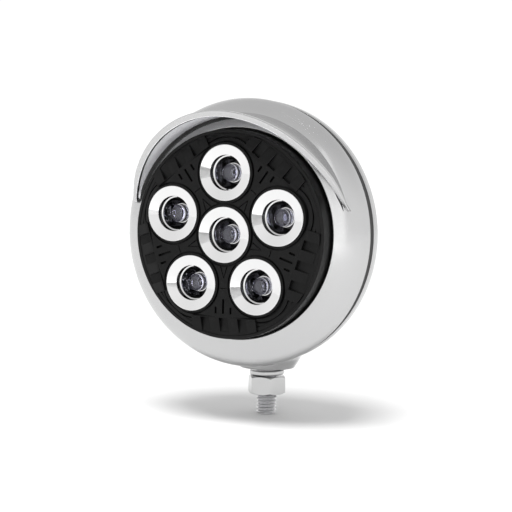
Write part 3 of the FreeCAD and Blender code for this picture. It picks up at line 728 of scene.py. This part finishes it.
housing_tip, housing_top = depths_of("housing_screws")
housing_screw = screw_mesh(housing_tip, housing_top - 2.0)
ring_of("housing_fixings", housing_screw, 4, bezel_r - 5.0, 45.0, "stainless_steel", ["housing_screws"])

# %% [markdown]
# ## Light unit
# The light unit's body is a casting: a plain rim round the face, a flange that the bezel's lip holds, a
# floor, and cooling fins with a can for the driver behind. The turned part is one outline and the fins
# are a ring of one tapered plate, because the copies are alike and one tree already places such rings.

# %% Lamp body
body_r = 52.6
body_bore = 50.8
rim_front, can_back = depths_of("lamp_body")
flange_r = radius_of("lamp_body")
flange_front, flange_back = 18.1, 20.9
floor_front, floor_back = 17.6, 21.0
fin_back = floor_back + 17.0
can_r, can_outer = 22.0, 24.0
body_outline = [
    (0.0, floor_front), (body_bore, floor_front), (body_bore, rim_front, 0.35), (body_r, rim_front, 0.75),
    (body_r, flange_front), (flange_r, flange_front, 0.3), (flange_r, flange_back, 0.3),
    (body_r, flange_back), (body_r, floor_back + 3.4, 0.4), (body_bore, floor_back + 3.4, 0.4),
    (body_bore, floor_back), (can_outer, floor_back), (can_outer, can_back, 0.4),
    (can_r, can_back, 0.4), (can_r, floor_back), (0.0, floor_back),
]
body_shape = turned(eased(body_outline, 6, closed=False), columns=256, closed=False)
make_piece("lamp_casting", body_shape, "lamp_head", "black_casting", ["lamp_body"])

# %% Cooling fins
fin_count = 20
fin_taper = 0.7
fin_from, fin_to = can_outer - 0.5, body_r - 1.4
fin_points, fin_faces = box_shape((fin_from, floor_back - 0.2, -1.0), (fin_to, fin_back, 1.0))
fin_points = [(x, y, z * (fin_taper if y > rim_y + 30 * MM else 1.0)) for x, y, z in fin_points]
fin_mesh = new_mesh("fin", (fin_points, fin_faces))
ring_of("lamp_fins", fin_mesh, fin_count, 0.0, 9.0, "black_casting", ["lamp_body"])

# %% [markdown]
# ## Face plate
# The black face between the cups is one moulding with slots, grooves, stepped rings and a tread of
# pockets near its edge. All its outlines are drawn flat, a constrained triangulation fills them, and each
# region is then set to its own depth. Where two regions meet at different depths a wall is stood between
# them, so every edge stays crisp.

# %% Face plate: the drawing
face_front, face_back = depths_of("face_plate")
face_flat = 1.2
slope_r = 41.2
plate_r = 50.78
plate_edge = 4.6
plate_thick = 3.4
slope = (plate_edge - face_flat) / (plate_r - slope_r)
collar_r, collar_depth = cup_r + 1.0, 0.8
bore_r = cup_r - 0.95
groove_width = 0.4
groove_r = 15.9
terrace_radii = (17.9, 20.0, 22.1)
terrace_drop = 0.2
terrace_end = 48.8
gap_angles = [126.0 + 72.0 * k for k in range(5)]
tread_half = 18.0
tread_start = slope_r + 0.1
pocket_end = 49.5
slot_end = 39.6
print("face from", round(face_front, 2), "to", round(face_back, 2), "mm; gaps between cups", len(gap_angles))


# %% Face plate: lines of the drawing
def ring_points(r, middle=(0.0, 0.0), count=96):
    turns = [2 * math.pi * (k + 0.5) / count for k in range(count)]
    return [(middle[0] + r * math.cos(t), middle[1] + r * math.sin(t)) for t in turns]


def along_gap(angle, points):
    """Points given along and across a gap, turned to its angle."""
    c, s = math.cos(math.radians(angle)), math.sin(math.radians(angle))
    return [(u * c - v * s, u * s + v * c) for u, v in points]


def bar(u0, u1, v0, v1):
    return [(u0, v0), (u1, v0), (u1, v1), (u0, v1)]


def chevron(side):
    """One arm of a chevron groove, from beside the centre cup to its apex."""
    return [(15.9, side * 1.5), (15.9, side * 2.1), (21.9, side * 0.05), (21.1, 0.0)]


print("corners of a bar and of a chevron's arm", len(bar(0, 1, 0, 1)), len(chevron(1)))

# %% [markdown]
# The plain face is flat in the middle and falls back as a cone to its rim. Every region has a rule that
# gives its depth at a spot: a groove follows the plain face a little deeper, the tread's blocks slope in a
# straight line, and a pocket's floor runs out level with the rim.

# %% Face plate: depths and regions
arch = [(26.5, -1.9), (26.9, -2.0), (27.1, 0.0), (26.9, 2.0), (26.5, 1.9), (26.7, 0.0)]


def flat_face(x, y):
    """The plate's plain surface: flat in the middle, then a cone that falls back to the rim."""
    return face_flat + slope * max(0.0, math.hypot(x, y) - slope_r)


def out_along_gap(x, y):
    """How far out a spot lies along the gap that it is nearest to."""
    turns = [math.radians(angle) for angle in gap_angles]
    return max(x * math.cos(turn) + y * math.sin(turn) for turn in turns)


def sunk(by):
    return lambda x, y: flat_face(x, y) + by


def tread(x, y):
    """The tread's blocks fall back in a straight slope along their gap."""
    u = out_along_gap(x, y)
    return face_flat + slope * max(0.0, u - slope_r) - 0.25 * min(1.0, max(0.0, u - tread_start))


def pocket_floor(x, y):
    u = out_along_gap(x, y)
    share = (u - tread_start) / (pocket_end - tread_start)
    return face_flat + 2.6 + share * (slope * (pocket_end - slope_r) - 2.6)


outlines = []
for cup in cups:
    outlines.append((ring_points(groove_r, cup), sunk(1.5)))
    outlines.append((ring_points(collar_r, cup), lambda x, y: collar_depth))
for angle in gap_angles:
    outlines.append((along_gap(angle, bar(tread_start, 48.9, -tread_half, tread_half)), tread))
    for middle in (-10.4, 0.0, 10.4):
        pocket = bar(tread_start + 0.35, pocket_end - 0.6, middle - 2.5, middle + 2.5)
        outlines.append((along_gap(angle, pocket), pocket_floor))
    for middle, length in ((-4.2, 3.4), (0.0, 7.4), (4.2, 3.4)):
        cut = bar(slot_end - length, slot_end, middle - 0.55, middle + 0.55)
        outlines.append((along_gap(angle, cut), sunk(2.4)))
    for side in (-1, 1):
        outlines.append((along_gap(angle, chevron(side)), sunk(1.3)))
    outlines.append((along_gap(angle, arch), sunk(1.3)))
print("face outlines", len(outlines))

# %% [markdown]
# Outside the outer cups the face drops in three shallow steps that follow the cups' rims, with a fine
# groove at each step. Their rings are drawn whole, and a spot only counts as stepped where it lies on the
# outward side of a cup.


# %% Face plate: terraces beside the outer cups
beside_r = 33.0
panel_half = 20.5


def terrace_level(x, y):
    """How far the stepped rings round an outer cup drop the surface there."""
    if math.hypot(x, y) > terrace_end:
        return 0.0
    nearest = min(math.hypot(x - cx, y - cy) for cx, cy in cups[1:])
    for step, r in enumerate(terrace_radii):
        if abs(nearest - r) < groove_width:
            return 1.6 + terrace_drop * step
        if nearest < r:
            return terrace_drop * step
    return terrace_drop * len(terrace_radii)


def beside_cup(x, y):
    """True on the outward side of an outer cup, clear of the slots' panels."""
    r = math.hypot(x, y)
    angle = math.degrees(math.atan2(y, x))
    from_gap = min(abs((angle - gap + 180) % 360 - 180) for gap in gap_angles)
    return r > beside_r and from_gap > panel_half


print("drop a little way out from an outer cup", terrace_level(cups[1][0] * 1.3, cups[1][1] * 1.3), "mm")

# %% Face plate: the whole drawing
edge_ring = ring_points(plate_r, count=240)
slope_ring = ring_points(slope_r, count=200)
drawing = [edge_ring, slope_ring, ring_points(terrace_end, count=220)] + [outline for outline, _ in outlines]
drawing += [ring_points(bore_r, cup) for cup in cups]
for cup in cups[1:]:
    for r in terrace_radii:
        drawing += [ring_points(r + side, cup, 120) for side in (-groove_width, groove_width)]
for angle in gap_angles:
    for side in (-panel_half, panel_half):
        drawing.append(along_gap(angle + side, [(beside_r, 0.0), (plate_r + 1.0, 0.0)]))
print("lines in the drawing", len(drawing))


def inside(outline, spots):
    """Which spots lie inside a closed outline."""
    x, y = spots[:, 0], spots[:, 1]
    hit = np.zeros(len(spots), bool)
    for (ax, ay), (bx, by) in zip(outline, outline[1:] + outline[:1]):
        crosses = (ay > y) != (by > y)
        if ay != by:
            hit ^= crosses & (x < (bx - ax) * (y - ay) / (by - ay) + ax)
    return hit


# %% [markdown]
# The triangulation gives flat triangles that never cross a drawn line. Each takes the depth of the region
# that its middle lies in, and has a twin on the plate's back. An edge whose two triangles disagree on
# depth gets a wall, and the wall's corners use every depth already made there, so the skin stays closed.


# %% Face plate: triangles, depths and walls
def face_shape():
    spots, edges = [], []
    for outline in drawing:
        first = len(spots)
        spots += [Vector(p) for p in outline]
        count = len(outline)
        edges += [(first + k, first + (k + 1) % count) for k in range(count if count > 2 else 1)]
    flat, _, triangles, *_ = delaunay_2d_cdt(spots, edges, [], 0, 1e-5)
    flat = np.array([tuple(p) for p in flat])
    triangles = np.array(triangles)
    middles = flat[triangles].mean(axis=1)
    kept = inside(edge_ring, middles)
    for cup in cups:
        kept &= ~inside(ring_points(bore_r, cup), middles)
    region = np.full(len(triangles), -1)
    for index, (outline, _) in enumerate(outlines):
        region[inside(outline, middles)] = index
    levels = [terrace_level(x, y) if number == -1 and beside_cup(x, y) else 0.0
              for (x, y), number in zip(middles, region)]
    points, index_of, faces, seen = [], {}, [], {}

    def corner(v, depth):
        key = (v, round(depth, 3))
        if key not in index_of:
            index_of[key] = len(points)
            points.append(at(flat[v][0], key[1], flat[v][1]))
            seen.setdefault(v, set()).add(key[1])
        return index_of[key]

    def depth_at(t, v):
        x, y = flat[v]
        if region[t] >= 0:
            return outlines[region[t]][1](x, y)
        return min(flat_face(x, y) + levels[t], plate_edge + 1.2)

    def under(v):
        x, y = flat[v]
        return face_flat + plate_thick + slope * max(0.0, math.hypot(x, y) - slope_r)

    def ladder(v, start, end):
        """The depths already made at a corner, from one to another."""
        low, high = sorted((round(start, 3), round(end, 3)))
        steps = sorted(d for d in seen[v] if low <= d <= high)
        return steps if start <= end else steps[::-1]

    sides = {}
    for t in np.nonzero(kept)[0]:
        tri = triangles[t]
        faces.append(tuple(corner(int(v), depth_at(t, v)) for v in tri))
        faces.append(tuple(corner(int(v), under(v)) for v in tri[::-1]))
        for a, b in zip(tri, np.roll(tri, -1)):
            sides.setdefault((min(a, b), max(a, b)), []).append(t)
    for (a, b), owners in sides.items():
        a, b = int(a), int(b)
        a0, b0 = depth_at(owners[0], a), depth_at(owners[0], b)
        a1, b1 = under(a), under(b)
        if len(owners) > 1:
            a1, b1 = depth_at(owners[1], a), depth_at(owners[1], b)
        down, rise = ladder(b, b0, b1), ladder(a, a1, a0)
        loop = [corner(a, a0)] + [corner(b, d) for d in down] + [corner(a, d) for d in rise]
        loop = [p for k, p in enumerate(loop) if p != loop[k - 1]]
        if len(set(loop)) > 2:
            faces.append(tuple(dict.fromkeys(loop)))
    return points, faces


make_piece("face_moulding", face_shape(), "lamp_head", "black_moulding", ["face_plate"], 20)

# %% [markdown]
# ## Cups and lenses
# Each cup has a wide flared ring, plated bright, and a deep bowl behind it that reads dark because it
# mirrors its own inside. A narrow bright ledge runs round inside the bowl. Ring, bowl and ledge are one
# outline, and the bowl's faces get a dark plate of painted shade so that it stays dark in a bright surround.

# %% Cups: outline
throat_r, throat_depth = 8.9, 1.4
board_depth = depths_of("led_board")[0]
neck_r = 6.0
rim_thick = 0.8
ledge_depth = 4.6
bowl_line = through([(throat_r - 0.05, throat_depth + 0.2), (0.9 * throat_r, 9.0), (neck_r, board_depth)], 18)
shell_line = [(r + 1.0, s) for r, s in bowl_line[3:]]
above = [p for p in bowl_line if p[1] < ledge_depth - 0.1]
below = [p for p in bowl_line if p[1] > ledge_depth + 0.7]
ledge_r = above[-1][0]
ledge = [
    (ledge_r + 0.05, ledge_depth), (ledge_r - 0.55, ledge_depth + 0.45), (ledge_r - 0.5, ledge_depth + 0.7),
]
bowl_line = above + ledge + [(min(r, ledge_r - 0.5), s) for r, s in below]
shoulder_r = 12.9
cup_outline = (
    eased([(throat_r, throat_depth, 0.15), (cup_r, 0.0, 0.35), (cup_r, rim_thick, 0.2),
           (shoulder_r, rim_thick), (shoulder_r, throat_depth), (throat_r + 1.1, throat_depth + 2.0)],
          5, closed=False)
    + shell_line + bowl_line[::-1]
)
print("points in a cup's outline", len(cup_outline))

# %% Cups: pieces
for k, place in enumerate(cups, 1):
    cup_shape = turned(cup_outline, place, 96)
    cup = make_piece(f"cup_{k}", cup_shape, "lamp_head", "mirror_cup", [f"reflector_{k}"], 28)
    # The bowl's faces take the painted shade; the ledge keeps the bright plate.
    cup.data.materials.append(bowl_painted_shade)
    for face in cup.data.polygons:
        r, depth = spot_of(face, place)
        on_ledge = ledge_depth < depth < ledge_depth + 0.44 and face.normal.y < -0.3
        if depth > throat_depth + 0.15 and r < throat_r and not on_ledge:
            face.material_index = 1

# %% [markdown]
# A clear bullet lens stands in each bowl over the emitter: a dome on a short barrel, with a ring round it
# near the board. The ring is plated like the cup, and a pale band on the dome's shoulder is a painted
# highlight, which draws the bright line round the lens. Only the dome has to be smooth, so its arc gets
# the most points.

# %% Lenses: outline
lens_r = 4.4
lens_front = depths_of("lens_1")[0]
lens_shoulder = 6.4
lens_ring = (9.8, 11.0)
foot_depth = board_depth - 0.02
dome_line = [(lens_r * math.sin(t), lens_shoulder - (lens_shoulder - lens_front) * math.cos(t))
             for t in np.linspace(0, math.pi / 2, 16)]
ring_r, pocket_r = 5.1, 2.9
lens_outline = dome_line + eased([
    (lens_r, lens_shoulder + 0.2), (lens_r, lens_ring[0], 0.3), (ring_r, lens_ring[0], 0.3),
    (ring_r, lens_ring[1], 0.3), (lens_r, lens_ring[1], 0.2), (lens_r, foot_depth, 0.2),
    (pocket_r, foot_depth, 0.1), (pocket_r, board_depth - 2.2, 0.5), (0.0, board_depth - 2.2)],
    4, closed=False)
print("points in a lens's outline", len(lens_outline))

# %% Lenses: pieces
for k, place in enumerate(cups, 1):
    lens_shape = turned(lens_outline, place, 64, closed=False)
    bullet = make_piece(f"bullet_{k}", lens_shape, "lamp_head", "clear_lens", [f"lens_{k}"], 40)
    bullet.data.materials.append(finishes["mirror_cup"])
    # The shoulder's pale band is a painted highlight.
    bullet.data.materials.append(lens_rim_highlight_paint)
    for face in bullet.data.polygons:
        r, depth = spot_of(face, place)
        if r > lens_r and depth < lens_ring[1] - 0.1:
            face.material_index = 1
        elif r > lens_r - 0.6 and 5.6 < depth < 6.3:
            face.material_index = 2

# %% [markdown]
# ## Stud, washer and nut
# Under the lamp a pressed foot carries the weight. A threaded stud comes down through it, with a split
# spring washer and a hexagon nut. The thread is a grid round the stud whose radius follows a triangle
# wave that climbs one pitch for each turn, so it is a true helix. A Screw modifier could sweep it too, but
# the grid also carries the stud's tip and head in the same skin.

# %% Stud: sizes and rules
thread_r = 5.5
pitch = 1.814
thread_deep = 1.0
stud_low, stud_high = heights_of("mount_bolt")
seat_height = stud_high - 7.0
head_flats = 2 * (5.556 + 2.4)
nut_low, nut_high = heights_of("hex_nut")


def stand(x, y, z):
    return x * MM, y * MM, z * MM


def hex_r(angle, flats, first=0.0, rounding=0.0):
    """The radius of a hexagon at an angle, in radians, for its first corner, with its edges rounded."""
    turn = (angle - first) % (math.pi / 3) - math.pi / 6
    arc_r = (flats / 2 - rounding) / math.cos(math.pi / 6)
    away = math.pi / 6 - abs(turn)
    rounded = arc_r * math.cos(away) + math.sqrt(max(0.0, rounding ** 2 - (arc_r * math.sin(away)) ** 2))
    sharp = flats / 2 / math.cos(turn)
    return min(sharp, rounded) if arc_r * math.sin(away) < rounding * 0.5 else sharp


def thread_radius(angle, z):
    """A rounded triangle wave that climbs a pitch for each turn."""
    phase = (z / pitch - angle / (2 * math.pi)) % 1.0
    wave = min(1.0, max(0.0, abs(phase - 0.5) * 2.5 - 0.2))
    fade = min(1.0, max(0.0, (-1.0 - z) / 1.5))
    return thread_r - thread_deep * wave * fade


print("turns of thread", round((-0.5 - stud_low) / pitch, 1))


# %% Stud: shape
def stud_shape():
    columns = 96
    heights = np.arange(stud_low, -0.5, pitch / 12)
    points = []
    rows = 0
    for i in range(columns):
        angle = 2 * math.pi * i / columns
        line = [(0.0, stud_low)]
        line += [(min(thread_radius(angle, z), thread_r - 1.1 + (z - stud_low)), z) for z in heights]
        line += [(thread_r, 0.0), (thread_r, seat_height)]
        head = hex_r(angle, head_flats)
        line += [(head, seat_height), (head, stud_high - 0.6)]
        line += [(min(head, head_flats / 2), stud_high), (0.0, stud_high)]
        rows = len(line)
        points += [stand(r * math.cos(angle), r * math.sin(angle), z) for r, z in line]
    return points, grid_faces(columns, rows, False)


make_piece("stud_bolt", stud_shape(), "stud", "zinc_steel", ["mount_bolt"], 50)

# %% [markdown]
# The nut's corners are turned off by a cone top and bottom. Where the cone meets a flat it draws the
# curved line that every hexagon nut shows, so each column of the nut's grid ends where the cone does.


# %% Nut
def nut_shape():
    columns = 6 * 60
    corner = math.radians(6.5)
    flats = 2 * (5.556 + 3.55)
    ring_r = flats / 2 - 0.15
    fall = math.tan(math.radians(30))
    bore = 5.62
    points = []
    rows = 0
    for i in range(columns):
        angle = corner + 2 * math.pi * i / columns
        r = hex_r(angle, flats, corner, 0.9)
        drop = max(0.0, r - ring_r) * fall
        line = [(bore, nut_low + 0.5), (bore + 0.5, nut_low), (ring_r, nut_low), (r, nut_low + drop)]
        line += [(r, nut_high - drop), (ring_r, nut_high), (bore + 0.5, nut_high), (bore, nut_high - 0.5)]
        rows = len(line)
        points += [stand(q * math.cos(angle), q * math.sin(angle), z) for q, z in line]
    return points, grid_faces(columns, rows, True)


make_piece("stud_nut", nut_shape(), "nut", "nut_plate", ["hex_nut"], 14)

# %% [markdown]
# The split washer is a bar bent into one turn of a shallow helix and cut at a slant. Its section is
# carried round almost a full turn while it climbs, and only the first and last sections lean over.


# %% Split washer
def washer_shape():
    inner, outer = 5.9, 9.3
    low, high = heights_of("lock_washer")
    thick = high - low - 1.2
    gap = math.radians(12.0)
    first = math.radians(116.5)
    columns = 120
    section = eased([(inner, 0.0, 0.3), (outer, 0.0, 0.8), (outer, thick, 0.8), (inner, thick, 0.3)], 4)
    points = []
    for i in range(columns + 1):
        share = i / columns
        for r, z in section:
            slant = (z / thick - 0.5) * 0.14
            angle = first + share * (2 * math.pi - gap) + slant * (1 if i in (0, columns) else 0)
            lift = share * 1.2
            points.append(stand(r * math.cos(angle), r * math.sin(angle), low + z + lift))
    rows = len(section)
    faces = grid_faces(columns + 1, rows, True, False)
    faces += [tuple(range(rows)), tuple(range(len(points) - rows, len(points)))]
    return points, faces


make_piece("stud_split_washer", washer_shape(), "spring_washer", "nut_plate", ["lock_washer"], 40)

# %% [markdown]
# ## Foot
# The foot flares from a round seat up to the bucket's curved side, so its top edge is a saddle line. Each
# column of its grid climbs the flare until it meets the housing, and the top then follows the housing in.
# A boolean cut would leave long thin faces along the saddle, which bright plating shows up.

# %% Foot: rules
foot_bore = 5.606
foot_r = 14.8
foot_top = heights_of("pedestal_saddle")[1]
seat_r = 10.2
foot_flare = eased([(foot_r - 0.3, 0.7), (foot_r, 1.0), (foot_r + 2.8, 5.6, 2.0), (foot_r + 4.2, 11.0, 2.0),
                    (foot_r + 4.2, 24.0)], 6, closed=False)
under_end = (bucket_r - bucket_taper * (rim_back - rim_start), rim_back)
under_line = eased([(0.0, housing_back)] + outer_line + [under_end], 30, closed=False)[::-1]


def flare_r(z):
    """The foot's radius at a height above its seat."""
    return float(np.interp(z, [p[1] for p in foot_flare], [p[0] for p in foot_flare]))


def housing_under(x, y):
    """The height of the housing's underside above a spot of the seat."""
    depth = y - rim_y / MM
    side = float(np.interp(depth, [p[1] for p in under_line], [p[0] for p in under_line]))
    r = housing_rim_r if depth < rim_back else side
    return min(foot_top, axis_z / MM - math.sqrt(max(0.0, r ** 2 - x ** 2)))


print("housing above the seat's middle, mm", round(housing_under(0.0, 0.0), 2))


# %% Foot: shape
def foot_shape():
    columns = 120
    slack = 0.02
    points = []
    rows = 0
    for i in range(columns):
        angle = 2 * math.pi * i / columns
        c, s = math.cos(angle), math.sin(angle)
        top = next(z for z in np.arange(2.0, 24.0, 0.02)
                   if z >= housing_under(flare_r(z) * c, flare_r(z) * s) - slack)
        line = [(foot_bore, 0.0), (seat_r, 0.0)]
        line += [(flare_r(z), z) for z in np.concatenate([[0.7, 1.0], np.linspace(1.4, top, 20)])]
        edge = line[-1][0]
        line += [(r, housing_under(r * c, r * s) - slack) for r in np.linspace(edge - 0.3, foot_bore, 12)]
        rows = len(line)
        points += [stand(r * c, r * s, z) for r, z in line]
    return points, grid_faces(columns, rows, True)


make_piece("mount_foot", foot_shape(), "lamp_head", "chrome_plate", ["pedestal_saddle"], 38)

# %% [markdown]
# ## Floor, light and camera
# The floor is a wide flat sheet of pale paper, so large that its far edge melts into the surround. It is
# no part of the lamp.

# %% Floor
floor_half = 12.0


def sheet_object(name, points, finish):
    """A flat four-cornered sheet of the stage."""
    mesh = bpy.data.meshes.new(name)
    mesh.from_pydata(points, [], [tuple(range(4))])
    mesh.materials.append(finish)
    obj = new_object(name, mesh)
    return obj


paper = grained("floor_paper", grey(0.71), grey(0.70), 0.0, (0.7, 0.8), 30.0, 0.0)
corners = ((-1, -1), (1, -1), (1, 1), (-1, 1))
sheet_object("floor", [(floor_half * u, floor_half * v, cad_low.z) for u, v in corners], paper)
print("floor at height, mm", round(cad_low.z / MM, 2))

# %% [markdown]
# Plated metal shows only what stands round it, so the surround is most of its look. It is white and even
# to the sides and a little dimmer overhead, which keeps the top of the bezel from burning out.

# %% Surround
sky_low, sky_high = 0.15, 0.95
sky_sides, sky_top = 1.06, 0.68
world = bpy.data.worlds.new("surround")
world.use_nodes = True
sky = world.node_tree
sky_place = sky.nodes.new("ShaderNodeTexCoord")
sky_parts = sky.nodes.new("ShaderNodeSeparateXYZ")
fall = sky.nodes.new("ShaderNodeMapRange")
fall.interpolation_type = "SMOOTHSTEP"
sky_range = {"From Min": sky_low, "From Max": sky_high, "To Min": sky_sides, "To Max": sky_top}
for name, value in sky_range.items():
    fall.inputs[name].default_value = value
sky.links.new(sky_place.outputs["Generated"], sky_parts.inputs[0])
sky.links.new(sky_parts.outputs["Z"], fall.inputs["Value"])
sky.links.new(fall.outputs["Result"], sky.nodes["Background"].inputs["Strength"])
sky.nodes["Background"].inputs["Color"].default_value = (1.0, 1.0, 1.0, 1.0)
scene.world = world
scene.view_settings.view_transform = "Standard"
print("surround from", sky_sides, "to", sky_top, "overhead")

# %% [markdown]
# A very soft sun from above and a little in front lays a broad pale shadow on the floor under and behind
# the lamp. It is kept out of reflections, where it would show as a hard spot. A tall strip adds one
# bright line to the chrome, and a low fill lifts the foot and the nut.

# %% Lights
sun = bpy.data.objects.new("overhead", bpy.data.lights.new("overhead", "SUN"))
sun.data.energy = 3.1
sun.data.angle = math.radians(27)
sun.rotation_euler = Vector((-0.04, 0.37, -0.92)).to_track_quat("-Z", "Y").to_euler()
sun.visible_glossy = False
scene.collection.objects.link(sun)


def soft_box(name, place, towards, wide, tall, power):
    """A rectangular soft light that points at a spot and is hidden from the camera."""
    data = bpy.data.lights.new(name, "AREA")
    data.shape = "RECTANGLE"
    data.size, data.size_y, data.energy = wide, tall, power
    light = bpy.data.objects.new(name, data)
    light.location = place
    light.rotation_euler = (Vector(towards) - Vector(place)).to_track_quat("-Z", "Y").to_euler()
    light.visible_camera = False
    scene.collection.objects.link(light)
    return light


soft_box("strip", (0.45, -1.23, 0.50), (0.0, 0.0, 0.48), 0.16, 1.3, 0.4)
fill = soft_box("low_fill", (0.12, -0.95, 0.06), (0.0, 0.0, 0.12), 0.5, 0.3, 4.5)
fill.visible_glossy = False

# %% [markdown]
# A grey card beside the camera puts a darker patch into whatever is polished. Here it gives each cup's
# ring a soft grey sector, so that the ring reads as metal and not as white paint.

# %% Grey card
card_middle, half_width, half_height = Vector((0.09, -1.25, 0.02)), 0.11, 0.21
card_points = [card_middle + Vector((u * half_width, 0.0, v * half_height)) for u, v in corners[::-1]]
card_grey = grained("card_grey", grey(0.66), grey(0.64), 0.0, (0.8, 0.9), 30.0, 0.0)
card = sheet_object("card", card_points, card_grey)
card.visible_camera = False
print("card, mm", round(2 * half_width / MM), "by", round(2 * half_height / MM))

# %% [markdown]
# The camera stands low and to the right, level enough for the floor to close up into a thin band, with a
# long lens that keeps the round bezel from swelling at its near side. Its aim is given as an azimuth, an
# elevation and a small roll.

# %% Camera
camera = bpy.data.objects.new("camera", bpy.data.cameras.new("camera"))
camera.data.sensor_width = 36.0
camera.data.lens = 103.75
camera.data.clip_start = 0.01
camera.data.clip_end = 50.0
azimuth, elevation, roll = math.radians(26.47), math.radians(4.13), math.radians(1.193)
level = math.cos(elevation)
back = Vector((math.sin(azimuth) * level, -math.cos(azimuth) * level, math.sin(elevation)))
camera.location = (0.3410, -0.7009, 0.1157)
camera.rotation_mode = "QUATERNION"
camera.rotation_quaternion = back.to_track_quat("Z", "Y") @ Quaternion((0.0, 0.0, 1.0), roll)
scene.collection.objects.link(camera)
scene.camera = camera
print("camera lens, mm", camera.data.lens)
